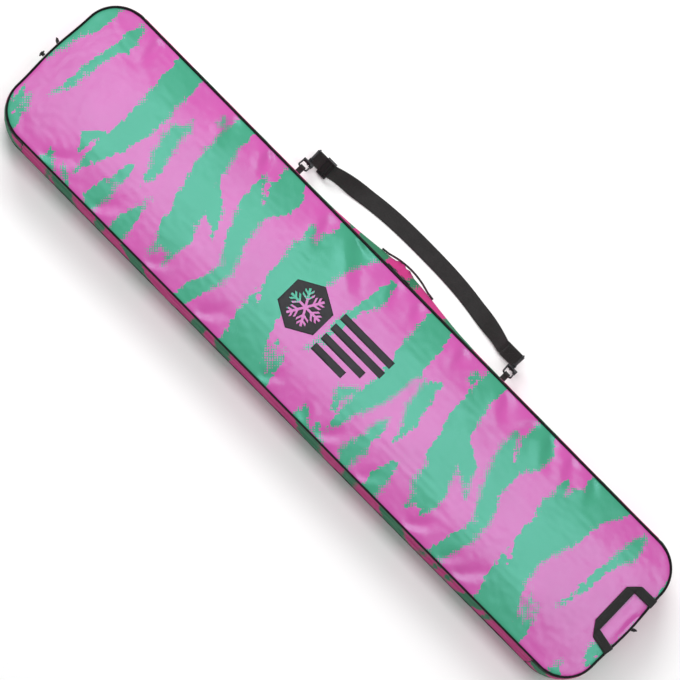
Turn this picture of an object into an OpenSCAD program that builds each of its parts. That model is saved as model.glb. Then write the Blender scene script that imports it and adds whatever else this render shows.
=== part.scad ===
// Padded snowboard bag lying on its back panel, zip side towards +Y, nose end at -X.
// Millimetres, +Z up. Origin: floor level, at the middle of the bag's outline.

/* [Bag] */
// Length of the bag outline over the front piping
bag_length = 1650; // [1500:10:1850]
// Width of the bag outline over the front piping
bag_width = 352; // [340:2:400]
// Height of the front piping's centre above the floor
seam_height = 116; // [114:1:120]
// Radius of the four rounded corners seen from above
corner_radius = 75; // [60:1:90]
// How far each end bows out past its corners
end_bow = 4; // [0:0.5:6]
// Outward bulge of the gusset on the zip side
bulge_zip = 12; // [11:0.5:13]
// Outward bulge of the gusset at the two ends
bulge_end = 8; // [6:0.5:9]
// Outward bulge of the gusset on the hinge side
bulge_hinge = 5; // [4:0.5:7]
// Extra bulge of the zip side behind the carry handle
bulge_handle = 18; // [10:1:18]

/* [Padding] */
// Thickness of the foam in the gusset
foam_wall = 6; // [4:0.5:7]
// Thickness of the foam in the back panel
foam_back = 6.5; // [5:0.5:7]
// Thickness of the outer fabric
skin_thick = 1; // [0.8:0.1:1]
// Thickness of the lining fabric
lining_thick = 0.8; // [0.6:0.1:0.8]
// Radius of the corded piping
piping_r = 2.2; // [1.8:0.1:2.2]

/* [Zip] */
// Top of the gusset wall where the zip runs
gusset_top = 102; // [100:0.5:102]
// Height of the zip chain's centre line
chain_z = 108.2; // [108:0.1:108.4]
// Radius of one row of coil teeth
coil_r = 0.9; // [0.7:0.05:0.9]
// Distance from the chain's centre line to the middle of a row
row_shift = 1.6; // [1.5:0.05:1.7]
// X position of the slider that closes towards the nose
slider_nose_x = -22; // [-200:1:-20]
// X position of the slider that closes towards the tail
slider_tail_x = -2; // [0:1:200]

/* [Side handle] */
// Height of the side handle's middle above the floor
handle_z = 80; // [78:1:82]
// Width of the side handle's webbing
handle_web = 16; // [12:1:16]
// Half the span of the side handle's free grip
handle_half = 52; // [50:1:54]
// How far the grip arches out at its middle
handle_rise = 8; // [8:1:16]

/* [Tail handle] */
// Thickness of the tail handle's webbing
tail_web_t = 1.8; // [1.2:0.1:1.8]
// Slope of the tail handle over the domed front panel
tail_slope = 3; // [3:0.5:6]

/* [Shoulder strap] */
// Width of the shoulder webbing
strap_web = 38; // [30:1:38]
// Thickness of the shoulder webbing
strap_t = 2; // [1.4:0.1:2]
// Distance of each hook from the middle of the bag
hook_x = 298; // [280:1:320]
// Height of the webbing loops that hold the hooks
loop_z = 64; // [62:1:66]
// Distance of the loop's eye from the middle of the bag
loop_y = 204; // [199:1:205]
// Arch of the strap in plan
strap_arch = 32; // [10:1:40]
// How far the strap and its hooks sit towards the nose
strap_shift = 9; // [0:1:20]

/* [Hidden] */
// overlap that joins two shapes of one solid
join = 0.01;
// clearance between pieces
gap = 0.3;
// space left between layers of one padded wall
layer_gap = 0.05;
half_l = bag_length / 2;
half_w = bag_width / 2;
corner_x = half_l - end_bow - corner_radius;
corner_y = half_w - corner_radius;
// the front panel hinges on the straight part of the hinge side, between these two x
hinge_half = corner_x - 16;
corner_steps = 7;
end_steps = 6;
zip_side_steps = 18;
// heights of the gusset's fabric
wall_low = 5.6;
wall_high = seam_height - piping_r - gap;
back_piping_z = 1 + piping_r;
wall_thick = skin_thick + foam_wall + lining_thick;
foam_top = gusset_top - 2.5;
foam_low = 10.5;
// how far the zip stands out from the outline, as a share of the local bulge
zip_share = 0.28;
tape_half = 0.3;
chain_y = half_w + zip_share * bulge_zip;
// where the handle bulge starts, ends and is largest
swell_low = 10;
swell_high = gusset_top;
swell_power = 2.54;
swell_width = 125;
// hook frame: the hook leaves its loop towards the strap, down and away from the bag
hook_angle = 44;
eye_bar = 60.6;
bow_half = 10.5;
bow_bend = 4;
wire_r = 2;
post_top = 26;
gate_pin_z = 25;
strap_end_y = loop_y + eye_bar * cos(hook_angle);
strap_end_z = loop_z - eye_bar * sin(hook_angle);
strap_roll = 90 - hook_angle;
fold_len = 38;
fold_gap = 0.4;
strap_straight = hook_x - 46;
strap_flat = 150;
strap_floor = 0.4;
steel = [0.35, 0.36, 0.38];
black = [0.10, 0.10, 0.11];
pink = [0.84, 0.45, 0.76];
teal = [0.36, 0.74, 0.62];
foam_grey = [0.55, 0.56, 0.58];
lining_grey = [0.30, 0.30, 0.33];

// ---- outline ----
// A station is [x, y, outward x, outward y] on the bag's outline, counter-clockwise from above.
function bow(y, d) = end_bow * (1 + cos(180 * y / (half_w - corner_radius))) / 2 - d;
function corner(cx, cy, a0, r) = [for (k = [0:corner_steps])
    let (a = a0 + 90 * k / corner_steps)
    [cx + r * cos(a), cy + r * sin(a), cos(a), sin(a)]];
function tail_end(cx, cy) = [for (k = [1:end_steps - 1])
    let (y = -cy + 2 * cy * k / end_steps)
    [cx + corner_radius + bow(y, 0), y, 1, 0]];
function nose_end(cx, cy) = [for (k = [1:end_steps - 1])
    let (y = cy - 2 * cy * k / end_steps)
    [-cx - corner_radius - bow(y, 0), y, -1, 0]];
function zip_side() = [for (k = [1:zip_side_steps - 1])
    let (x = corner_x - 2 * corner_x * k / zip_side_steps)
    [x, half_w, 0, 1]];
tail_path = concat([[hinge_half, -half_w, 0, -1]],
    corner(corner_x, -corner_y, -90, corner_radius), tail_end(corner_x, corner_y),
    corner(corner_x, corner_y, 0, corner_radius));
nose_path = concat(corner(-corner_x, corner_y, 90, corner_radius), nose_end(corner_x, corner_y),
    corner(-corner_x, -corner_y, 180, corner_radius), [[-hinge_half, -half_w, 0, -1]]);
zip_path = concat([[corner_x, half_w, 0, 1]], zip_side(), [[-corner_x, half_w, 0, 1]]);
hinge_path = [[-hinge_half, -half_w, 0, -1], [hinge_half, -half_w, 0, -1]];
open_path = concat(tail_path, zip_side(), nose_path);

// ---- gusset shape ----
function bulge(s) = bulge_end + (bulge_zip - bulge_hinge) / 2 * s[3]
    + ((bulge_zip + bulge_hinge) / 2 - bulge_end) * s[3] * s[3];
function profile(z) = 1 - pow(abs(2 * (z - wall_low) / (wall_high - wall_low) - 1), 3);
function swell(z) = z <= swell_low || z >= swell_high ? 0
    : pow(sin(180 * pow((z - swell_low) / (swell_high - swell_low), swell_power)), 2);
function swell_at(s) = s[3] > 0.99 ? bulge_handle * exp(-pow(s[0] / swell_width, 2)) : 0;
function wall_out(s, z) = bulge(s) * profile(z) + swell_at(s) * swell(z);
function zip_out(s, z) = zip_share * bulge(s);

// A strip of wall along a path, between two depths below the outer surface.
module wall(path, levels, d0, d1) {
    n = len(path);
    m = len(levels);
    pts = [for (s = path) for (z = levels) for (d = [d0, d1])
        [s[0] + s[2] * (wall_out(s, z) - d), s[1] + s[3] * (wall_out(s, z) - d), z]];
    solid_strip(pts, n, m);
}

// Closes n stations of m levels, each an outer and an inner point, into one solid of triangles.
module solid_strip(pts, n, m) {
    last_i = n - 1;
    last_k = m - 1;
    outer = [for (i = [0:n - 2]) for (k = [0:m - 2]) for (q = [0, 1]) q == 0
        ? [at(i, k, 0, m), at(i, k + 1, 0, m), at(i + 1, k + 1, 0, m)]
        : [at(i, k, 0, m), at(i + 1, k + 1, 0, m), at(i + 1, k, 0, m)]];
    inner = [for (i = [0:n - 2]) for (k = [0:m - 2]) for (q = [0, 1]) q == 0
        ? [at(i, k, 1, m), at(i + 1, k + 1, 1, m), at(i, k + 1, 1, m)]
        : [at(i, k, 1, m), at(i + 1, k, 1, m), at(i + 1, k + 1, 1, m)]];
    low = [for (i = [0:n - 2])
        [at(i, 0, 0, m), at(i + 1, 0, 0, m), at(i + 1, 0, 1, m), at(i, 0, 1, m)]];
    high = [for (i = [0:n - 2])
        [at(i, last_k, 0, m), at(i, last_k, 1, m),
            at(i + 1, last_k, 1, m), at(i + 1, last_k, 0, m)]];
    first = [for (k = [0:m - 2])
        [at(0, k, 0, m), at(0, k, 1, m), at(0, k + 1, 1, m), at(0, k + 1, 0, m)]];
    last = [for (k = [0:m - 2])
        [at(last_i, k, 0, m), at(last_i, k + 1, 0, m),
            at(last_i, k + 1, 1, m), at(last_i, k, 1, m)]];
    polyhedron(points = pts, faces = concat(outer, inner, low, high, first, last), convexity = 10);
}
function at(i, k, side, m) = (i * m + k) * 2 + side;

// A strip of zip tape, upright at the zip's own distance from the outline.
module tape(path, z0, z1) {
    pts = [for (s = path) for (z = [z0, z1]) for (d = [-tape_half, tape_half])
        [s[0] + s[2] * (zip_out(s, z) - d), s[1] + s[3] * (zip_out(s, z) - d), z]];
    solid_strip(pts, len(path), 2);
}

// A round cord along a path, closed on itself when wrap is true.
module cord_along(path, z, share, r, sides, wrap) {
    n = len(path);
    pts = [for (s = path) for (j = [0:sides - 1])
        let (a = 360 * j / sides, o = share * bulge(s) + r * cos(a))
        [s[0] + s[2] * o, s[1] + s[3] * o, z + r * sin(a)]];
    runs = wrap ? n - 1 : n - 2;
    skin = [for (i = [0:runs]) for (j = [0:sides - 1])
        let (a = i * sides, b = ((i + 1) % n) * sides, k = (j + 1) % sides)
        [a + j, a + k, b + k, b + j]];
    first = [for (j = [sides - 1:-1:0]) j];
    last = [for (j = [0:sides - 1]) (n - 1) * sides + j];
    polyhedron(points = pts, faces = wrap ? skin : concat(skin, [first, last]), convexity = 10);
}

// ---- flat and domed panels ----
function inset_ring(d) =
    let (r = max(corner_radius - d, 16), cx = half_l - end_bow - d - r, cy = half_w - d - r)
    concat(corner(cx, -cy, -90, r),
        [for (k = [1:end_steps - 1])
            let (y = -cy + 2 * cy * k / end_steps) [cx + r + ease(y, cy), y]],
        corner(cx, cy, 0, r), corner(-cx, cy, 90, r),
        [for (k = [1:end_steps - 1])
            let (y = cy - 2 * cy * k / end_steps) [-cx - r - ease(y, cy), y]],
        corner(-cx, -cy, 180, r));
function ease(y, cy) = end_bow * (1 + cos(180 * y / cy)) / 2;

// A panel through rings given as [inset, height], from its top middle round to its underside.
module panel(rings) {
    pts = [for (q = rings) for (s = inset_ring(q[0])) [s[0], s[1], q[1]]];
    n = len(inset_ring(0));
    m = len(rings);
    skin = [for (k = [0:m - 2]) for (i = [0:n - 1])
        [k * n + i, k * n + (i + 1) % n, (k + 1) * n + (i + 1) % n, (k + 1) * n + i]];
    first = [for (i = [n - 1:-1:0]) i];
    last = [for (i = [0:n - 1]) (m - 1) * n + i];
    polyhedron(points = pts, faces = concat(skin, [first, last]), convexity = 10);
}

// The front panel's dome, as [inset, height above the seam].
dome = [[150, 7], [90, 6], [45, 4.2], [20, 2.2], [3, 0.2]];
function lowered(rings, drop) = [for (ring = rings) [ring[0], ring[1] + seam_height - drop]];
function turned(rings) = [for (k = [len(rings) - 1:-1:0]) rings[k]];
foam_dome = [[150, 7], [90, 6], [45, 4.2], [20, 2.2], [10.5, 1]];
lid_foam_low = 110.2;
lid_edge = 10.5;

// ---- the back ----
module back_skin() color(pink) panel([[2.6, skin_thick + 0.2], [2.6, 0]]);
module back_foam() color(foam_grey) panel([[9, 1.2 + foam_back], [9, skin_thick + 0.2]]);
module back_lining() color(lining_grey)
    panel([[9, 1.2 + foam_back + lining_thick], [9, 1.2 + foam_back]]);
module back_piping() color(black) cord_along(open_path, back_piping_z, 0, piping_r, 8, true);

// ---- the gusset ----
skin_levels = [wall_low, foam_low, 24, 42, 60, 72, 80, 88, 95, foam_top, gusset_top];
foam_levels = [foam_low, 24, 42, 60, 72, 80, 88, 95, foam_top];
tall_levels = [wall_low, foam_low, 34, 60, 86, 104, wall_high];
tall_foam_levels = [foam_low, 34, 60, 86, 104];
module skin_wall(path, levels) color(teal) wall(path, levels, 0, skin_thick);
module foam_wall_on(path, levels) color(foam_grey)
    wall(path, levels, skin_thick + layer_gap, skin_thick + foam_wall);
module lining_wall(path, levels) color(lining_grey)
    wall(path, levels, skin_thick + foam_wall + layer_gap, wall_thick);
module gusset_hinge_skin() skin_wall(hinge_path, tall_levels);
module gusset_hinge_foam() foam_wall_on(hinge_path, tall_foam_levels);
module gusset_hinge_lining() lining_wall(hinge_path, tall_foam_levels);
module gusset_zip_skin() skin_wall(zip_path, skin_levels);
module gusset_zip_foam() foam_wall_on(zip_path, foam_levels);
module gusset_zip_lining() lining_wall(zip_path, foam_levels);
end_levels = [wall_low, foam_low, 34, 60, 86, foam_top, gusset_top];
end_foam_levels = [foam_low, 34, 60, 86, foam_top];
module gusset_nose_skin() skin_wall(nose_path, end_levels);
module gusset_nose_foam() foam_wall_on(nose_path, end_foam_levels);
module gusset_nose_lining() lining_wall(nose_path, end_foam_levels);
module gusset_tail_skin() skin_wall(tail_path, end_levels);
module gusset_tail_foam() foam_wall_on(tail_path, end_foam_levels);
module gusset_tail_lining() lining_wall(tail_path, end_foam_levels);

// ---- the zip ----
row_low = chain_z - row_shift;
row_high = chain_z + row_shift;
tape_gap = 0.1;
module zip_tape_lower() color(black) tape(open_path, gusset_top + gap, row_low - coil_r - tape_gap);
module zip_coil_lower() color(black) cord_along(open_path, row_low, zip_share, coil_r, 6, false);
module zip_tape_upper() color(black)
    tape(open_path, row_high + coil_r + tape_gap, seam_height - piping_r - tape_gap);
module zip_coil_upper() color(black) cord_along(open_path, row_high, zip_share, coil_r, 6, false);
stop_len = 4;
stop_deep = 2.4;
stop_high = 5;
stop_out = 3.4;
module zip_stops() color(steel)
    for (side = [-1, 1])
        translate([side * (hinge_half - stop_len / 2 - gap), -half_w - stop_out, row_low])
            cube([stop_len, stop_deep, stop_high], center = true);

// ---- sliders and pullers, in a frame with the travel along X and the bag towards -Y ----
plate_half = 5.5;
plate_high = 10;
plate_t = 1.2;
plate_out = 1.35;
// how far the inner plate reaches over the chain's middle
inner_over = 0.5;
wedge_len = 3;
wedge_half = 0.5;
// the bridge that holds the puller: its half length, the place of its inner post, its size
bridge_half = 4.8;
post_in = 3.6;
post_t = 1.2;
bridge_high = 2.2;
bridge_out = 4.9;
bridge_t = 0.9;
pin_out = 3.7;
pin_thin = 0.9;
puller_len = 21;
puller_wide = 6.4;
puller_t = 1.2;
arm_len = 8;
arm_join = 0.5;
hole_in = 4;
hole_r = 1.6;
module slider() color(steel) {
    translate([-plate_half, plate_out, -plate_high / 2]) cube([2 * plate_half, plate_t, plate_high]);
    translate([-plate_half, -plate_out - plate_t, -plate_high / 2])
        cube([2 * plate_half, plate_t, plate_high / 2 + inner_over]);
    translate([-plate_half, -plate_out - join, -wedge_half])
        cube([wedge_len, 2 * plate_out + 2 * join, 2 * wedge_half]);
    for (x = [-bridge_half, post_in])
        translate([x, plate_out + plate_t - join, -bridge_high / 2])
            cube([post_t, bridge_out - plate_out - plate_t + 2 * join, bridge_high]);
    translate([-bridge_half, bridge_out, -bridge_high / 2]) cube([2 * bridge_half, bridge_t, bridge_high]);
}
module puller() color(steel) {
    translate([0, pin_out, -puller_wide / 2]) cylinder(r = pin_thin, h = puller_wide, $fn = 32);
    for (z = [-puller_wide / 2, puller_wide / 2 - puller_t])
        translate([0, pin_out - puller_t / 2, z]) cube([arm_len, puller_t, puller_t]);
    difference() {
        translate([arm_len - arm_join, pin_out - puller_t / 2, -puller_wide / 2])
            cube([puller_len - arm_len + arm_join, puller_t, puller_wide]);
        translate([puller_len - hole_in, pin_out, 0]) rotate([90, 0, 0])
            cylinder(r = hole_r, h = 2 * puller_t, center = true, $fn = 32);
    }
}
module on_chain(x, turn) translate([x, chain_y, chain_z]) scale([turn, 1, 1]) children();
module slider_nose() on_chain(slider_nose_x, -1) slider();
module puller_nose() on_chain(slider_nose_x, -1) puller();
module slider_tail() on_chain(slider_tail_x, 1) slider();
module puller_tail() on_chain(slider_tail_x, 1) puller();

// ---- webbing loops that hold the hooks ----
loop_width = 13;
eye_in = 3.6;
eye_out = 5.1;
loop_back = half_w + bulge_zip + gap;
neck_high = 3;
patch_t = 1.5;
patch_low = 18;
module hook_loop(x) color(black)
    translate([x - strap_shift - loop_width / 2, 0, 0]) rotate([90, 0, 90]) linear_extrude(loop_width)
        difference() {
            union() {
                translate([loop_y, loop_z]) circle(r = eye_out, $fn = 48);
                translate([loop_back, loop_z - neck_high / 2]) square([loop_y - loop_back - 2, neck_high]);
                translate([loop_back, loop_z - patch_low]) square([patch_t, patch_low + neck_high / 2]);
            }
            translate([loop_y, loop_z]) circle(r = eye_in, $fn = 48);
        }
module hook_loop_nose() hook_loop(-hook_x);
module hook_loop_tail() hook_loop(hook_x);

// ---- tabs at the two ends ----
tab_z = 98;
tab_t = 2.4;
// a tab leans towards the zip side; side is -1 at the nose end and 1 at the tail end
module end_tab(side, y) color(black)
    translate([side * (half_l + bulge_end * profile(tab_z) + gap / 2), y, tab_z - tab_t / 2])
        scale([side, 1, 1]) linear_extrude(tab_t)
            polygon([[0, -4], [6, -1], [11, 5], [7, 6.5], [0, 4]]);
module nose_tab() end_tab(-1, 20);
module tail_tab() end_tab(1, 12);
ring_x = -half_l - bulge_end - 5;
ring_y = -18;
ring_z = 94;
ring_wire = 1.1;
ring_bend = 6;
ring_drop = 5;
// the ring's tab: its loop, its flat neck and its width
ring_loop_out = 2.9;
ring_loop_in = 1.7;
ring_neck_far = 6.6;
ring_neck_len = 5.2;
ring_neck_t = 2.2;
ring_tab_wide = 7;
module ring_tab() color(black)
    translate([0, ring_y - ring_tab_wide / 2, 0]) rotate([90, 0, 180])
        linear_extrude(ring_tab_wide)
            difference() {
                union() {
                    translate([-ring_x, ring_z]) circle(r = ring_loop_out, $fn = 32);
                    translate([-ring_x - ring_neck_far, ring_z - ring_neck_t / 2])
                        square([ring_neck_len, ring_neck_t]);
                }
                translate([-ring_x, ring_z]) circle(r = ring_loop_in, $fn = 32);
            }
module nose_ring() color(steel) translate([ring_x, ring_y, ring_z]) {
    rod([0, -ring_bend, 0], [0, ring_bend, 0], ring_wire);
    translate([0, 0, -ring_drop]) rotate([90, 0, 90]) mirror([0, 1, 0])
        rotate_extrude(angle = 180, $fn = 48) translate([ring_bend, 0]) circle(r = ring_wire, $fn = 24);
    for (y = [-ring_bend, ring_bend]) {
        rod([0, y, 0], [0, y, -ring_drop], ring_wire);
        translate([0, y, 0]) sphere(r = ring_wire, $fn = 24);
    }
}
module rod(p, q, r) {
    v = q - p;
    far = norm(v);
    translate(p) rotate([0, acos(v[2] / far), atan2(v[1], v[0])]) cylinder(r = r, h = far, $fn = 32);
}

// ---- the front panel ----
module lid_skin() color(pink) panel(concat(lowered(dome, 0), turned(lowered(dome, skin_thick))));
module lid_foam() color(foam_grey)
    panel(concat(lowered(foam_dome, skin_thick + layer_gap), [[lid_edge, lid_foam_low]]));
module lid_lining() color(lining_grey)
    panel([[lid_edge, lid_foam_low], [lid_edge, lid_foam_low - lining_thick]]);
module lid_piping() color(black) cord_along(open_path, seam_height, 0, piping_r, 8, true);

// ---- the tail handle, flat webbing folded at its corners ----
tail_pivot_x = half_l - 2;
tail_pivot_z = seam_height + 3.4;
tail_shape = [[0, 87], [-41, 85], [-64, 62], [-62, -32], [-44, -57], [0, -68],
    [0, -45], [-43, -36], [-44, 63], [0, 65]];
module tail_handle() color(black)
    translate([tail_pivot_x, 0, tail_pivot_z]) rotate([0, tail_slope, 0])
        translate([0, 0, -tail_web_t / 2]) linear_extrude(tail_web_t) polygon(tail_shape);

// ---- the side handle ----
grip_y = half_w + 28.8;
grip_t = 2;
grip_steps = 16;
function grip(k) = let (x = -handle_half + 2 * handle_half * k / grip_steps)
    [x, grip_y + handle_rise * (1 - pow(x / handle_half, 2))];
module side_handle() color(black)
    translate([0, 0, handle_z - handle_web / 2]) linear_extrude(handle_web)
        polygon(concat([for (k = [0:grip_steps]) grip(k) - [0, grip_t / 2]],
            [for (k = [grip_steps:-1:0]) grip(k) + [0, grip_t / 2]]));
end_pad = 18;
pad_t = 1.8;
pad_x = handle_half + 3 + end_pad / 2;
pad_turn = 7;
pad_y = grip_y - 2.2;
module side_handle_ends() color(black)
    for (side = [-1, 1])
        translate([side * pad_x, pad_y, handle_z]) rotate([0, 0, -side * pad_turn])
            cube([end_pad, pad_t, handle_web], center = true);

// ---- the shoulder strap ----
// A band's frame is [point, direction of its width, direction of its thickness].
function sm(u) = let (v = min(max(u, 0), 1)) v * v * (3 - 2 * v);
function strap_rise(x) = sm((abs(x) - strap_flat) / (strap_straight - strap_flat));
function roll(x) = strap_roll * strap_rise(x);
function strap_y(x) = strap_end_y + strap_arch * (1 - pow(min(abs(x) / strap_straight, 1), 2.6));
strap_flat_z = strap_floor + strap_t / 2;
function strap_z(x) =
    let (own = strap_flat_z + strap_web / 2 * sin(roll(x)))
    own + (strap_end_z - strap_flat_z - strap_web / 2 * sin(strap_roll)) * strap_rise(x);
function strap_frame(x) = [[x, strap_y(x), strap_z(x)], [0, cos(roll(x)), sin(roll(x))],
    [0, -sin(roll(x)), cos(roll(x))]];
wrap_gap = 0.6;
wrap_r = wire_r + wrap_gap + strap_t / 2;
// The webbing lies below the eye's bar, turns round it and comes back on top of itself.
function wrap_frame(side, a) =
    let (w = [0, cos(strap_roll), sin(strap_roll)], n = [0, -sin(strap_roll), cos(strap_roll)],
        c = [side * hook_x, strap_end_y, strap_end_z])
    [c + wrap_r * (side * sin(a) * [1, 0, 0] - cos(a) * n), w,
        side * sin(a) * [-1, 0, 0] + cos(a) * n];
function end_frame(x) =
    let (w = [0, cos(strap_roll), sin(strap_roll)], n = [0, -sin(strap_roll), cos(strap_roll)])
    [[x, strap_end_y, strap_end_z] - wrap_r * n, w, n];
function back_frame(side, u) =
    let (w = [0, cos(strap_roll), sin(strap_roll)], n = [0, -sin(strap_roll), cos(strap_roll)])
    [[side * (hook_x - u), strap_end_y, strap_end_z] + (fold_gap + strap_t - wrap_r) * n, w, -n];
strap_steps = 48;
mid_frames = [for (k = [0:strap_steps])
    let (x = -strap_straight + 2 * strap_straight * k / strap_steps, f = strap_frame(x))
    [f[0] - wrap_r * strap_rise(x) * f[2], f[1], f[2]]];
turn_steps = 6;
tail_turn = [for (k = [0:turn_steps]) wrap_frame(1, 180 * k / turn_steps)];
nose_turn = [for (k = [turn_steps:-1:0]) wrap_frame(-1, 180 * k / turn_steps)];
// where the webbing has come back down onto itself past the bar
fold_start = 10;
tail_back = [back_frame(1, fold_start), back_frame(1, fold_len)];
nose_back = [back_frame(-1, fold_len), back_frame(-1, fold_start)];
strap_frames = concat(nose_back, nose_turn, mid_frames, tail_turn, tail_back);
module band(frames, wide, thick) {
    n = len(frames);
    corners = [[-wide / 2, -thick / 2], [wide / 2, -thick / 2],
        [wide / 2, thick / 2], [-wide / 2, thick / 2]];
    pts = [for (f = frames) for (c = corners) f[0] + c[0] * f[1] + c[1] * f[2]];
    skin = [for (i = [0:n - 2]) for (j = [0:3])
        let (a = 4 * i + j, b = a + 4, c = 4 * (i + 1) + (j + 1) % 4, d = 4 * i + (j + 1) % 4)
        each [[a, b, c], [a, c, d]]];
    first = [0, 1, 2, 3];
    last = [for (j = [3:-1:0]) 4 * (n - 1) + j];
    polyhedron(points = pts, faces = concat(skin, [first, last]), convexity = 10);
}
module strap_webbing() color(black)
    translate([-strap_shift, 0, 0]) band(strap_frames, strap_web, strap_t);

// The adjuster's frame straddles the doubled webbing at the nose end.
adjuster_len = 24;
adjuster_rail = 3;
adjuster_in = 0.5;
adjuster_bar = 3;
adjuster_t = 2.4;
adjuster_low = -wrap_r - strap_t / 2;
adjuster_top = -wrap_r + fold_gap + 1.5 * strap_t + gap;
adjuster_half = strap_web / 2 + adjuster_in + adjuster_rail;
module strap_adjuster() color(black)
    translate([-hook_x - strap_shift + fold_len - 4, strap_end_y, strap_end_z]) rotate([strap_roll, 0, 0]) {
        for (y = [-adjuster_half, adjuster_half - adjuster_rail])
            translate([-adjuster_len / 2, y, adjuster_low])
                cube([adjuster_len, adjuster_rail, adjuster_top + adjuster_t - adjuster_low]);
        for (x = [-adjuster_len / 2, -adjuster_bar / 2, adjuster_len / 2 - adjuster_bar])
            translate([x, -adjuster_half, adjuster_top])
                cube([adjuster_bar, 2 * adjuster_half, adjuster_t]);
    }

// ---- swivel hooks: +Z runs from the loop to the strap, the bow lies in XZ ----
module hook_frame(x) translate([x - strap_shift, loop_y, loop_z]) rotate([-90 - hook_angle, 0, 0]) children();
eye_half = strap_web / 2 + wrap_gap + wire_r;
base_low = 35;
base_high = 40;
pin_r = 2.5;
pin_fit = 0.06;
// the yoke joins the bow's post to the swivel, and its two cheeks hold the gate's pin
yoke_high = 5;
yoke_half = 3;
yoke_end = 7;
cheek_t = 1.2;
cheek_x = 6;
cheek_long = 7.5;
cheek_low = 3;
cheek_high = 9;
gate_pin_r = 1;
stub_top = 8;
neck_r = 4;
cap_r = 3.8;
cap_top = 2.5;
gate_gap = 0.4;
gate_half = 1.6;
gate_side = 1.4;
gate_eye = 2.4;
module bend(x, z, a) translate([x, 0, z]) rotate([90, 0, 0]) rotate([0, 0, a])
    rotate_extrude(angle = 90, $fn = 48) translate([bow_bend, 0]) circle(r = wire_r, $fn = 24);
module hook_body() color(steel) {
    rod([-bow_half + bow_bend, 0, 0], [bow_half - bow_bend, 0, 0], wire_r);
    bend(-bow_half + bow_bend, bow_bend, 180);
    bend(bow_half - bow_bend, bow_bend, 270);
    rod([-bow_half, 0, bow_bend], [-bow_half, 0, post_top + 1], wire_r);
    rod([bow_half, 0, bow_bend], [bow_half, 0, stub_top], wire_r);
    translate([-bow_half - wire_r, -yoke_half, post_top])
        cube([bow_half + wire_r + yoke_end, 2 * yoke_half, yoke_high]);
    for (y = [-yoke_half, yoke_half - cheek_t])
        translate([cheek_x, y, gate_pin_z - cheek_low]) cube([cheek_long, cheek_t, cheek_high]);
    translate([0, 0, gate_pin_z])
        rod([bow_half, -yoke_half, 0], [bow_half, yoke_half, 0], gate_pin_r);
    cylinder_between(post_top + yoke_high - join, base_low - gap, neck_r);
    cylinder_between(base_low - gap - join, base_high + 1, pin_r);
    cylinder_between(base_high + gap, base_high + cap_top, cap_r);
}
module cylinder_between(z0, z1, r) translate([0, 0, z0]) cylinder(r = r, h = z1 - z0, $fn = 32);
module gate() color(steel)
    translate([bow_half, 0, 0]) difference() {
        union() {
            translate([-gate_half, -gate_side, stub_top + gate_gap])
                cube([2 * gate_half, 2 * gate_side, gate_pin_z - stub_top - gate_gap]);
            translate([0, 0, gate_pin_z]) rotate([90, 0, 0])
                cylinder(r = gate_eye, h = 2 * gate_side, center = true, $fn = 32);
        }
        translate([0, 0, gate_pin_z]) rotate([90, 0, 0])
            cylinder(r = gate_pin_r + pin_fit, h = 2 * yoke_half, center = true, $fn = 32);
    }
eye_block = [8, 12];
eye_leg = 8;
module eye() color(steel) {
    difference() {
        translate([-eye_block[0] / 2, -eye_block[1] / 2, base_low])
            cube([eye_block[0], eye_block[1], base_high - base_low]);
        cylinder_between(base_low - 1, base_high + 1, pin_r + pin_fit);
    }
    for (side = [-1, 1]) {
        rod([0, side * (eye_block[1] / 2 - 1), base_high - wire_r],
            [0, side * eye_half, eye_bar - eye_leg], wire_r);
        rod([0, side * eye_half, eye_bar - eye_leg], [0, side * eye_half, eye_bar], wire_r);
        for (z = [eye_bar - eye_leg, eye_bar])
            translate([0, side * eye_half, z]) sphere(r = wire_r, $fn = 32);
    }
    rod([0, -eye_half, eye_bar], [0, eye_half, eye_bar], wire_r);
}
module eye_nose() hook_frame(-hook_x) eye();
module eye_tail() hook_frame(hook_x) eye();
module hook_nose() hook_frame(-hook_x) hook_body();
module hook_tail() hook_frame(hook_x) hook_body();
module gate_nose() hook_frame(-hook_x) gate();
module gate_tail() hook_frame(hook_x) gate();

back_skin();
back_foam();
back_lining();
back_piping();
gusset_hinge_skin();
gusset_hinge_foam();
gusset_hinge_lining();
gusset_zip_skin();
gusset_zip_foam();
gusset_zip_lining();
gusset_nose_skin();
gusset_nose_foam();
gusset_nose_lining();
gusset_tail_skin();
gusset_tail_foam();
gusset_tail_lining();
zip_tape_lower();
zip_coil_lower();
zip_stops();
hook_loop_nose();
hook_loop_tail();
side_handle_ends();
nose_tab();
tail_tab();
ring_tab();
nose_ring();
lid_skin();
lid_foam();
lid_lining();
lid_piping();
zip_tape_upper();
zip_coil_upper();
tail_handle();
slider_nose();
puller_nose();
slider_tail();
puller_tail();
side_handle();
strap_webbing();
strap_adjuster();
eye_nose();
eye_tail();
hook_nose();
gate_nose();
hook_tail();
gate_tail();
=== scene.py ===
"""Looks for the padded snowboard bag: padded panels, piping, zip, webbing, hooks, camera and light."""
import math

import bmesh
import bpy
import numpy as np
from mathutils import Matrix, Vector
from mathutils.bvhtree import BVHTree
from mathutils.geometry import delaunay_2d_cdt


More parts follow.
